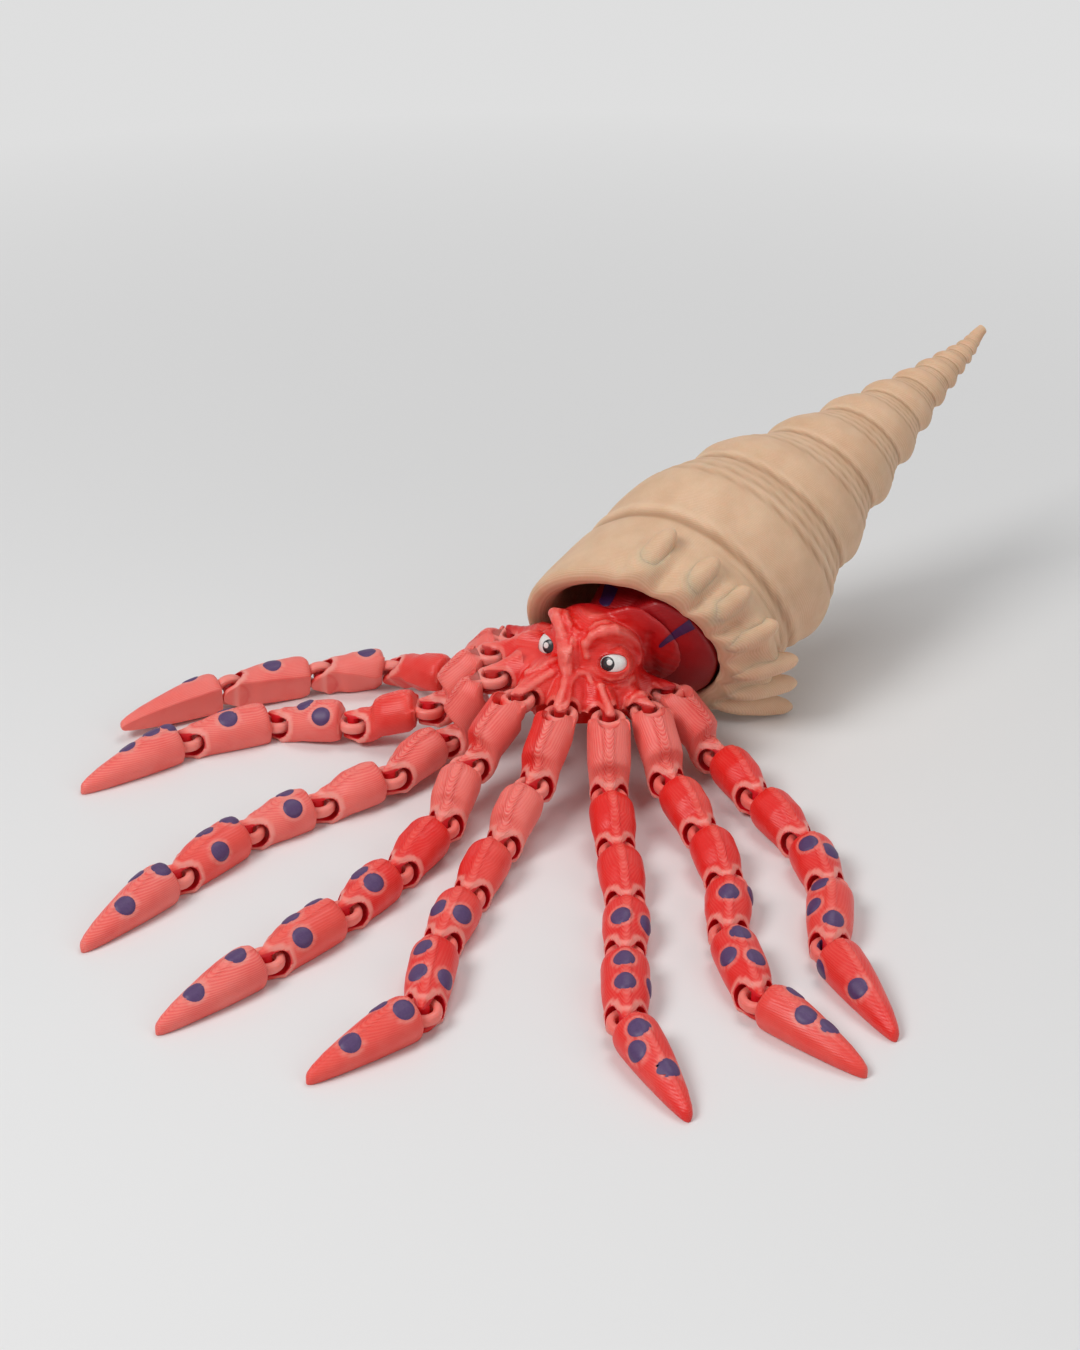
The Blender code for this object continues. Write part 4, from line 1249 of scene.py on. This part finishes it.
def dome_skin():
    """Skirt and dome of the head."""
    sections = []
    for height in np.concatenate((np.linspace(10.6, 30.8, 30),
                                  (31.2, 31.6, 32.0, 32.4, 32.7, 32.9, 33.0))):
        radius = np.interp(height, *DOME_ROWS.T)
        share = smooth_step((height - HOOK_HEIGHT) / (EYE_HEIGHT - HOOK_HEIGHT))
        centre = HUB * (1 - share) + DOME_CENTRE * share + UP * height
        sections.append([centre + heading_vector(turn) * radius for turn in range(0, 360, 5)])
    return lofted(sections)


def nose_skin(arm):
    """A nose of the head from the skirt out past the hook's bar."""
    heading, centre = hook_place(arm)
    place = frame_at(centre, UP, heading_vector(heading))
    table = scaled_rows(NOSE_ROWS)
    places = np.concatenate((np.linspace(-11.5, -3.0, 18), np.linspace(-2.6, NOSE_REACH, 16)))
    return lofted([out_of(place, section(x, *between(table, x))) for x in places])


def neck_skin():
    """Neck that spreads from the dome back to the mantle."""
    turns = circle(72)
    held = recess(turns)
    front = DOME_CENTRE + UP * (EYE_HEIGHT + 0.5)
    back = MOUTH_CENTRE - MOUTH_NORMAL * 3.0
    ring = ring_directions(np.array([0.0]), turns)[0]
    rings = []
    for share in np.linspace(0.0, 1.0, 16):
        centre = front + (back - front) * share
        radius = (7.4 + 6.9 * smooth_step(share / 0.5) + 4.4 * max(share - 0.5, 0.0)
                  - held * 4.2 * smooth_step(share * 1.6))
        rings.append(centre + ring * radius[:, None])
    return lofted(rings)


def ellipsoid(centre, direction, radii, segments=28, rings=18):
    """An ellipsoid whose first axis points along a direction."""
    place = frame_at(centre, UP, direction)
    turns = circle(segments)
    sections = []
    for r in range(rings + 1):
        angle = math.pi * (r + 0.02) / (rings + 0.04)
        points = np.column_stack((math.sin(angle) * np.cos(turns) * radii[0],
                                  math.sin(angle) * np.sin(turns) * radii[1],
                                  np.full(segments, math.cos(angle) * radii[2])))
        sections.append(out_of(place, points))
    return lofted(sections)


# Rounded ridges of the face: whether both halves have it, how far it stands out in radii, and the
# pixels that it runs through, with its radius there
RIDGES = {
    "crest": (False, 0.0, ((555, 609, 0.75), (557, 618, 1.1), (560, 629, 1.4), (564, 641, 1.7),
        (566, 652, 1.8), (566, 663, 1.7), (567, 674, 1.3))),
    "brow": (True, -0.2, ((587, 656, 0.9), (586, 646, 1.2), (593, 637, 1.5), (604, 632, 1.6),
        (615, 631, 1.6), (627, 635, 1.5), (636, 643, 1.3), (640, 653, 1.0), (638, 663, 0.7))),
    "ridge_4": (False, -0.35, ((567, 674, 1.3), (564, 688, 1.1), (558, 703, 1.1),
        (554, 716, 1.2))),
    "ridge_4b": (False, -0.35, ((572, 684, 0.8), (570, 697, 0.8), (564, 712, 0.9))),
    "ridge_3": (False, -0.35, ((560, 668, 1.1), (546, 676, 1.0), (533, 685, 1.0),
        (520, 695, 1.1))),
    "ridge_2": (False, -0.35, ((556, 660, 0.9), (541, 666, 0.9), (527, 673, 1.0))),
    "chin": (False, -0.35, ((570, 692, 0.7), (571, 681, 0.9), (578, 673, 1.0), (587, 673, 0.9),
        (592, 683, 0.7))),
    "ridge_6": (False, -0.35, ((600, 686, 0.9), (605, 699, 1.0), (610, 713, 1.1),
        (613, 727, 1.1))),
    "ridge_7": (False, -0.35, ((628, 706, 0.8), (633, 698, 1.0), (642, 694, 1.1), (651, 700, 1.0),
        (656, 712, 0.8))),
    "ridge_8": (False, -0.35, ((654, 684, 0.9), (664, 690, 0.9), (674, 695, 0.9))),
    "lower_lid": (True, -0.35, ((592, 668, 0.5), (599, 676, 0.7), (611, 679, 0.8), (622, 677, 0.7),
        (629, 670, 0.5))),
}

# Fine raised and sunken lines: whether both halves have it, width, height, and the pixels
STROKES = {
    "brow_inner": (True, 0.45, 0.25, ((594, 647), (602, 641), (614, 639), (625, 642), (632, 648))),
    "brow_hollow": (True, 1.9, -0.9, ((599, 646), (613, 644), (628, 651))),
    "under_lid": (True, 0.45, 0.30, ((600, 684), (609, 687), (619, 685))),
    "under_lid_hollow": (True, 0.6, -0.35, ((597, 680), (609, 683), (623, 680))),
    "bridge": (False, 0.5, 0.35, ((571, 641), (569, 652), (566, 662))),
    "crest_edge": (False, 0.4, 0.30, ((566, 614), (570, 626), (572, 640), (570, 652))),
    "brow_to_crest": (True, 0.8, 0.45, ((586, 646), (579, 636), (572, 624))),
    "ridge_3b": (False, 0.5, 0.4, ((548, 668), (535, 676), (522, 685))),
    "ridge_6b": (False, 0.45, 0.40, ((607, 690), (613, 703), (617, 715))),
    "cheek_left": (False, 1.4, -0.6, ((577, 690), (576, 702), (580, 712))),
    "cheek_right": (False, 1.2, -0.5, ((592, 696), (596, 708), (600, 716))),
    "cheek_far": (False, 1.3, -0.6, ((622, 696), (622, 708), (624, 716))),
    "crease_neck": (False, 1.1, -0.6, ((650, 636), (651, 655), (655, 672))),
    "forehead_a": (True, 0.6, 0.25, ((590, 616), (604, 614), (618, 612))),
    "forehead_b": (True, 0.6, 0.22, ((594, 623), (608, 620), (624, 619))),
    "forehead_dip": (False, 1.7, -0.8, ((574, 613), (580, 622), (583, 632))),
    "cheek_fold": (True, 0.7, 0.4, ((632, 676), (628, 686), (618, 694))),
}

# Pixels searched for the skin round those of a ridge
RIDGE_SEARCH = 20
# The longest gap between two pixels' points that a ridge bridges, and that a line bridges, squared
RIDGE_GAP = 9.0
LINE_GAP_SQUARED = 16.0
# Voxel and rounds of smoothing of the head's first and second even skin
ROUGH_SKIN = (0.45, 8)
FINE_SKIN = (0.28, 5)
# Bend at which a vertex counts as fully raised or hollow
FULL_BEND = 0.022
# Half width and half height of the opening between the lids
LID_OPENING = (4.3, 2.05)
# Rounded forms of the face: turn from its middle, reach, height and radii
BROW = (0.80 * EYE_TURN, 6.6, 28.6, (3.2, 4.6, 4.2))
CHEEK = (62.0, 8.2, 19.6, (3.2, 4.2, 2.4))
SNOUT = (0.0, 8.6, 23.4, (3.0, 2.1, 6.4))
# The block that cuts the neck off at the mantle: half its side, and the corners of a square
BLOCK_HALF = 40.0
SQUARE = np.array(((-1.0, -1.0, 0.0), (1.0, -1.0, 0.0), (1.0, 1.0, 0.0), (-1.0, 1.0, 0.0)))


def bead_row(tree, lift, points):
    """Balls along a line of pixels on a skin, close enough to join: their centres and radii."""
    places = []
    for px, py, radius in points:
        spot = near_pixel(tree, px, py, RIDGE_SEARCH)
        if spot:
            places.append((spot[0] + spot[1] * radius * lift, radius))
    beads = []
    for (a, r), (b, t) in zip(places, places[1:]):
        gap = np.linalg.norm(b - a)
        if gap > RIDGE_GAP:
            continue
        for share in np.linspace(0.0, 1.0, max(int(gap / (0.3 * min(r, t))), 2)):
            beads.append((a + (b - a) * share, r + (t - r) * share))
    return beads


def bead_skins(beads):
    """Small balls for a row of beads."""
    ahead = heading_vector(0.0)
    return [ellipsoid(centre, ahead, (radius,) * 3, 12, 8) for centre, radius in beads]


def bent_share(verts, faces, rounds):
    """How far a skin is hollow, below 0, or raised, above 0, at each vertex."""
    first = np.array([face[k] for face in faces for k in range(len(face))])
    second = np.array([face[(k + 1) % len(face)] for face in faces for k in range(len(face))])
    count = np.zeros(len(verts))
    np.add.at(count, first, 1.0)
    total = np.zeros_like(verts)
    np.add.at(total, first, verts[second])
    count = np.maximum(count, 1.0)
    bend = -np.sum((total / count[:, None] - verts) * point_normals(verts, faces), axis=1)
    for _ in range(rounds):
        around = np.zeros(len(verts))
        np.add.at(around, first, bend[second])
        bend = 0.4 * bend + 0.6 * around / count
    return bend


def path_of(tree, pixels):
    """Points of a skin under a line of pixels, closely spaced."""
    found = []
    pixels = np.array(pixels, float)
    for (x0, y0), (x1, y1) in zip(pixels, pixels[1:]):
        for share in np.linspace(0.0, 1.0, 8)[:-1]:
            spot = under_pixel(tree, x0 + (x1 - x0) * share, y0 + (y1 - y0) * share)
            if spot:
                found.append(spot[0])
    last = under_pixel(tree, *pixels[-1])
    if last:
        found.append(last[0])
    return np.array(found)


def mirrored(points):
    """Points on the other half of the face."""
    ahead = heading_vector(FACE_HEADING)
    across = np.cross(UP, ahead)
    side = (points - DOME_CENTRE) @ across
    return points - 2.0 * side[:, None] * across[None, :]


def path_distance(verts, path):
    """Distance of each vertex from a line of points."""
    best = np.full(len(verts), 1e9)
    for a, b in zip(path, path[1:]):
        step = b - a
        size = np.dot(step, step)
        if size < 1e-9 or size > LINE_GAP_SQUARED:
            continue
        t = np.clip(((verts - a) @ step) / size, 0.0, 1.0)
        best = np.minimum(best, np.linalg.norm(verts - a - t[:, None] * step, axis=1))
    return best


def lid_opening(side, centre):
    """The almond between the lids, as a cutter that widens outward from the eye's centre."""
    level = heading_vector(FACE_HEADING + side * LID_TURN)
    out = level * math.cos(LID_RISE) + UP * math.sin(LID_RISE)
    across = unit(np.cross(UP, level))
    above = np.cross(out, across)
    above = above if above[2] > 0 else -above
    turns = circle(40)
    wide = np.sign(np.cos(turns)) * np.abs(np.cos(turns)) ** 0.74
    high = np.sign(np.sin(turns)) * np.abs(np.sin(turns)) ** 0.85
    half_width, half_height = LID_OPENING
    rim = half_width * wide[:, None] * across + half_height * high[:, None] * above
    return lofted([centre + out * reach + reach / EYE_RADIUS * rim
                   for reach in (0.6, EYE_RADIUS, EYE_RADIUS + 4.0)])


def face_ball(side, turn, reach, height, radii):
    """A rounded form of the face, facing outward."""
    turn = side * turn
    return ellipsoid(face_place(turn, reach, height), heading_vector(FACE_HEADING + turn), radii)


def head_forms():
    """Overlapping forms of the head: skirt, dome, neck, noses, brows, cheeks, lids and snout."""
    skins = [dome_skin(), neck_skin()] + [nose_skin(arm) for arm in ARM_HEADINGS]
    for side, centre in EYE_SIDES:
        skins += [face_ball(side, *BROW), face_ball(side, *CHEEK)]
        facing = heading_vector(FACE_HEADING + side * BROW[0])
        skins.append(ellipsoid(centre, facing, (EYE_RADIUS + LID,) * 3))
    return skins + [face_ball(1, *SNOUT)]


def arch_skin(arm):
    """Cutter of the arch under the skirt between the nose of an arm and the next nose."""
    out = heading_vector(HUB_HEADING + (arm + 0.5 - MIDDLE_OF_ARMS) * HOOK_SPACING)
    place = frame_at(HUB + out * 8.0 + UP * (13.0 - HEAD_LEAN * out[0] * 12.0), UP, out)
    turns = circle(32)
    return lofted([out_of(place, np.column_stack((np.full(32, x), np.cos(turns) * size,
                                                  np.sin(turns) * size * 1.15)))
                   for x, size in ARCH_ROWS])


def head_cutters():
    """Cutters of the hooks' pockets, the eyes' sockets and lids, and the plane behind the neck."""
    pocket, pocket_faces = pocket_skin()
    cutters = []
    for arm in ARM_HEADINGS:
        heading, centre = hook_place(arm)
        place = frame_at(centre, UP, heading_vector(heading))
        cutters.append((out_of(place, pocket), pocket_faces))
    ahead = heading_vector(FACE_HEADING)
    socket = (EYE_RADIUS + EYE_PLAY,) * 3
    cutters += [ellipsoid(centre, ahead, socket, 40, 24) for _, centre in EYE_SIDES]
    cutters += [lid_opening(side, centre) for side, centre in EYE_SIDES]
    behind = MOUTH_CENTRE + MOUTH_NORMAL * 1.3 - MOUTH_NORMAL * BLOCK_HALF
    block = frame_at(behind, unit(MOUTH_NORMAL), UP)
    cutters.append(lofted([out_of(block, (SQUARE + UP * z) * BLOCK_HALF) for z in (-1, 1)]))
    return [("DIFFERENCE", cutter) for cutter in cutters]


def lined(verts, faces):
    """The head's skin with its fine lines, clear of the eyes, and its painted highlight and shade
    at each vertex.
    """
    tree = tree_of(verts, faces)
    normals = point_normals(verts, faces)
    lift = np.zeros(len(verts))
    # Painted highlight where the skin bulges and painted shade where it is hollow
    light = 1.4 * np.clip(bent_share(verts, faces, 6) / FULL_BEND, -1.0, 1.0)
    for both, width, height, pixels in STROKES.values():
        path = path_of(tree, pixels)
        if len(path) < 2:
            continue
        for line in [path] + ([mirrored(path)] if both else []):
            bell = bump_of(path_distance(verts, line), width)
            lift += height * bell
            # Painted highlight along raised lines and painted shade along sunken ones
            light = light + np.clip(height, -0.6, 0.8) * bell
    verts = verts + normals * lift[:, None]
    for centre in EYES.values():
        rel = verts - centre
        distance = np.linalg.norm(rel, axis=1)
        clear = np.where(distance < EYE_RADIUS + 2.0, EYE_RADIUS + 0.5, 0.0)
        held = np.maximum(distance, clear)
        verts = centre + rel * (held / np.maximum(distance, 1e-6))[:, None]
    x, y, z = verts.T
    swirl = 0.07 * np.sin(x * 1.9 + z * 1.1) * np.sin(y * 1.7 - z * 0.9)
    return verts + normals * swirl[:, None], light


def head_skin():
    """Head: forms joined and softened, then ridges, arches, lines and cuts; and its painted
    highlight and shade.
    """
    skins = head_forms()
    tree = tree_of(*remeshed(skins, *ROUGH_SKIN))
    for both, lift, points in RIDGES.values():
        beads = bead_row(tree, lift, points)
        skins += bead_skins(beads)
        if both:
            skins += bead_skins([(mirrored(centre[None, :])[0], size) for centre, size in beads])
    arches = [("DIFFERENCE", arch_skin(arm)) for arm in range(1, len(ARM_HEADINGS))]
    verts, faces = carved(remeshed(skins, *FINE_SKIN), arches)
    verts, light = lined(verts, faces)
    tree = tree_of(verts, faces)
    carved_verts, carved_faces = carved((verts, faces), head_cutters())
    # The painted highlight and shade, carried over to the cut skin
    glow = np.zeros(len(carved_verts))
    for i, point in enumerate(carved_verts):
        _, _, face, distance = tree.find_nearest(Vector(point))
        if face is not None and distance < 0.4:
            glow[i] = sum(light[k] for k in faces[face]) / len(faces[face])
    return carved_verts, carved_faces, glow


# The mantle's stripes: pixels of the middle line, and the width in pixels at both ends. The right
# one starts on the head.
HEAD_STRIPE = (((659, 647), (666, 641), (674, 635)), 3.6, 7.0)
MANTLE_STRIPES = ((((668, 640), (677, 633), (692, 624)), 6.0, 11.0),
                  (((603, 606), (608, 597), (612, 586)), 11.0, 14.0))
# Pixels searched for the skin round those of a stripe, the rise of its edges, and how much more
# its middle line rises
STRIPE_SEARCH = 6
STRIPE_RISE = 0.10
STRIPE_CROWN = 0.06


def make_head():
    """Head, with the start of the mantle's right stripe."""
    verts, faces, glow = head_skin()
    back = (verts - MOUTH_CENTRE) @ MOUTH_NORMAL
    # Painted shade where the head reaches back into the mouth of the shell
    into = np.maximum(smooth_step((12.0 - back) / 7.0) * smooth_step((verts[:, 0] - 13.0) / 6.5),
                      smooth_step((5.5 - back) / 4.0))
    # Painted shade inside the hooks' pockets
    pocket_shade = np.zeros(len(verts))
    for arm in ARM_HEADINGS:
        away = pocket_distance(verts - hook_place(arm)[1])
        near = away < 0.10
        pocket_shade = np.maximum(pocket_shade, near * 0.7)
        # Painted highlight round the windows of the hooks' pockets
        glow = np.maximum(glow, 0.9 * smooth_step((1.0 - away) / 0.3) * (~near) * (away < 1.1))
    # Painted shade in the hollows; painted highlight kept out of the shaded places
    hollow = np.clip(-glow, 0.0, 1.0)
    glow = np.clip(glow, 0.0, 1.0) * (1.0 - into) * smooth_step((back - 2.0) / 3.0)
    # Tone and deep carry painted shade, rim painted highlight
    values = {"tone": 0.20 + 0.10 * np.sin(verts[:, 0] * 0.5 + verts[:, 2] * 0.7) - 0.4 * into,
              "rim": glow, "deep": np.clip(pocket_shade + 0.85 * into + 0.45 * hollow, 0.0, 1.0),
              "layer": verts[:, 2] + 40.0}
    stripe = stripe_patch(tree_of(verts, faces), *HEAD_STRIPE)
    piece = make_piece("head_skin", (verts, faces), [(stripe, 1)], (HEAD_PLASTIC, STRIPE_PLASTIC),
                       values, verts, 50.0)
    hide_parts("head")
    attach(piece, "head")


def make_mantle():
    """Mantle, with its two stripes."""
    skin = mantle_skin()
    tree = tree_of(*skin)
    verts, faces = outward(*skin)
    stripes = [(stripe_patch(tree, *stripe), 1) for stripe in MANTLE_STRIPES]
    nothing = np.zeros(len(verts))
    # Painted shade that darkens further into the shell
    values = {"tone": 0.75 - 0.06 * ((verts - MOUTH_CENTRE) @ SHELL_AXIS), "rim": nothing,
              "deep": nothing, "layer": verts[:, 2] + 40.0}
    piece = make_piece("mantle_skin", (verts, faces), stripes, (MANTLE_PLASTIC, STRIPE_PLASTIC),
                       values, verts, 60.0)
    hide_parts("mantle")
    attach(piece, "head")


def stripe_patch(tree, line, first_width, last_width, steps=18, across=7):
    """A thin stripe laid on a skin along a line of pixels."""
    line = np.array(line, float)
    ahead = unit(line[-1] - line[0])
    sizes = np.linalg.norm(np.diff(line, axis=0), axis=1)
    lengths = np.concatenate(([0.0], np.cumsum(sizes)))
    verts = []
    for share in np.linspace(0.0, 1.0, steps):
        at = share * lengths[-1]
        x = np.interp(at, lengths, line[:, 0])
        y = np.interp(at, lengths, line[:, 1])
        width = first_width + (last_width - first_width) * share
        width *= math.sqrt(max(1 - (1 - min(share * 6, 1.0)) ** 2, 0.04))
        for k in np.linspace(-0.5, 0.5, across):
            px, py = x - ahead[1] * width * k, y + ahead[0] * width * k
            place, normal = near_pixel(tree, px, py, STRIPE_SEARCH)
            verts.append(place + normal * (STRIPE_RISE + STRIPE_CROWN * math.cos(math.pi * k)))
    faces = []
    for r in range(steps - 1):
        for k in range(across - 1):
            a = r * across + k
            faces.append((a, a + 1, a + across + 1, a + across))
    return np.array(verts), faces


# Eyes

# Pixels of the pupils and, where it shows, of the highlight; then the radius and rise of each
EYE_PIXELS = (("eye_right", (607.0, 664.0), (609.5, 662.5)), ("eye_left", (549.0, 646.0), None))
PUPIL = (1.72, 0.10)
HIGHLIGHT = (0.70, 0.17)
# Pixels searched for the eye round those of its pupil, and round those of its highlight
PUPIL_SEARCH = 14
GLINT_SEARCH = 4


def make_eyes():
    """White balls, each with a black pupil and a small white highlight on it."""
    ahead = heading_vector(FACE_HEADING)
    for name, pupil, glint in EYE_PIXELS:
        centre = EYES[name]
        ball = ellipsoid(centre, ahead, (EYE_RADIUS,) * 3, 48, 32)
        tree = tree_of(*ball)
        gaze = unit(near_pixel(tree, *pupil, PUPIL_SEARCH)[0] - centre)
        if glint:
            shine = unit(near_pixel(tree, *glint, GLINT_SEARCH)[0] - centre)
        else:
            gaze = unit(gaze + 0.15 * ahead)
            shine = unit(gaze + 0.20 * unit(np.cross(gaze, UP)) + 0.06 * UP)
        marks = [(disc_patch(tree, centre + way * EYE_RADIUS, way, *size, 6, 32), material)
                 for way, size, material in ((gaze, PUPIL, 1), (shine, HIGHLIGHT, 0))]
        piece = make_piece(f"{name}_ball", ball, marks, (EYE_WHITE, EYE_BLACK), {}, ball[0])
        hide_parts(name)
        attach(piece, "head")


# Stage

# Brightness of the far floor and of the world where they are seen, and of the world's own light
BACKDROP = 0.735
WORLD_LIGHT = 0.26
FLOOR_HALF = 4000.0
FLOOR_LEVEL = -0.06
# Distance in metres at which the floor starts to turn into the backdrop, and how fast it does
NEAR_FLOOR = 0.16
FLOOR_FADE = 3.2
# Lamps: place, size and power
LAMPS = {"key": ((-420, -330, 620), 360, 3.3), "fill": ((520, -420, 420), 500, 0.8),
         "top": ((160, 220, 800), 420, 1.5)}
LAMP_AIM = Vector((20.0, 10.0, 15.0))


def background_rays(nodes):
    """One for the rays that show the background: from the camera, by gloss or through glass."""
    rays = nodes.add("ShaderNodeLightPath").outputs
    seen = nodes.math("MAXIMUM", rays["Is Camera Ray"], rays["Is Glossy Ray"])
    return nodes.math("MAXIMUM", seen, rays["Is Transmission Ray"])


def make_floor():
    """Pale floor that turns into the plain backdrop far from the figurine."""
    corners = [(x * FLOOR_HALF, y * FLOOR_HALF, FLOOR_LEVEL)
               for x, y in ((-1, -1), (1, -1), (1, 1), (-1, 1))]
    floor = make_object("floor", corners, [(0, 1, 2, 3)])
    nodes = Nodes(bpy.data.materials.new("floor_paint"))
    position = nodes.add("ShaderNodeTexCoord").outputs["Object"]
    cloud = nodes.noise(position, 6.0, 2.0, 0.5)
    paint = nodes.mix(cloud, (0.80, 0.80, 0.80), (0.82, 0.82, 0.82))
    nodes.link(paint, nodes.shader.inputs["Base Color"])
    nodes.shader.inputs["Roughness"].default_value = 0.55
    length = nodes.add("ShaderNodeVectorMath", operation="LENGTH")
    nodes.link(position, length.inputs[0])
    far = nodes.times(nodes.minus(length.outputs["Value"], NEAR_FLOOR), FLOOR_FADE, clamp=True)
    glow = nodes.add("ShaderNodeEmission")
    glow.inputs["Color"].default_value = (BACKDROP, BACKDROP, BACKDROP, 1.0)
    blend = nodes.add("ShaderNodeMixShader")
    nodes.link(nodes.times(far, background_rays(nodes)), blend.inputs[0])
    nodes.link(nodes.shader.outputs[0], blend.inputs[1])
    nodes.link(glow.outputs[0], blend.inputs[2])
    nodes.link(blend.outputs[0], nodes.tree.nodes["Material Output"].inputs["Surface"])
    floor.data.materials.append(nodes.owner)


def make_world():
    """Soft white light from all round, seen as the plain backdrop."""
    world = bpy.data.worlds.new("studio")
    nodes = Nodes(world)
    back = nodes.tree.nodes["Background"]
    back.inputs["Color"].default_value = (1.0, 1.0, 1.0, 1.0)
    strength = nodes.add("ShaderNodeMapRange")
    strength.inputs["To Min"].default_value = WORLD_LIGHT
    strength.inputs["To Max"].default_value = BACKDROP
    nodes.link(background_rays(nodes), strength.inputs["Value"])
    nodes.link(strength.outputs["Result"], back.inputs["Strength"])
    bpy.context.scene.world = world


def make_lamps():
    """Three soft lamps."""
    for name, (place, size, power) in LAMPS.items():
        light = bpy.data.lights.new(name, "AREA")
        light.shape = "DISK"
        light.size = size * MM
        light.energy = power
        obj = bpy.data.objects.new(name, light)
        bpy.context.scene.collection.objects.link(obj)
        obj.location = Vector(place) * MM
        aim = LAMP_AIM * MM - obj.location
        obj.rotation_euler = aim.to_track_quat("-Z", "Y").to_euler()


def make_camera():
    """Camera at the photograph's place."""
    camera = bpy.data.cameras.new("camera")
    camera.sensor_fit = "VERTICAL"
    camera.sensor_height = SENSOR_HEIGHT
    camera.lens = FOCAL_PIXELS / PHOTO_HEIGHT * SENSOR_HEIGHT
    camera.clip_start = 0.01
    camera.clip_end = 20.0
    obj = bpy.data.objects.new("camera", camera)
    bpy.context.scene.collection.objects.link(obj)
    obj.location = Vector(CAMERA_PLACE) * MM
    obj.rotation_euler = (math.pi / 2 - CAMERA_PITCH, 0.0, 0.0)
    bpy.context.scene.camera = obj
    bpy.context.scene.view_settings.view_transform = "Standard"


make_floor()
make_world()
make_lamps()
make_camera()
make_links()
make_shell()
make_head()
make_mantle()
make_eyes()
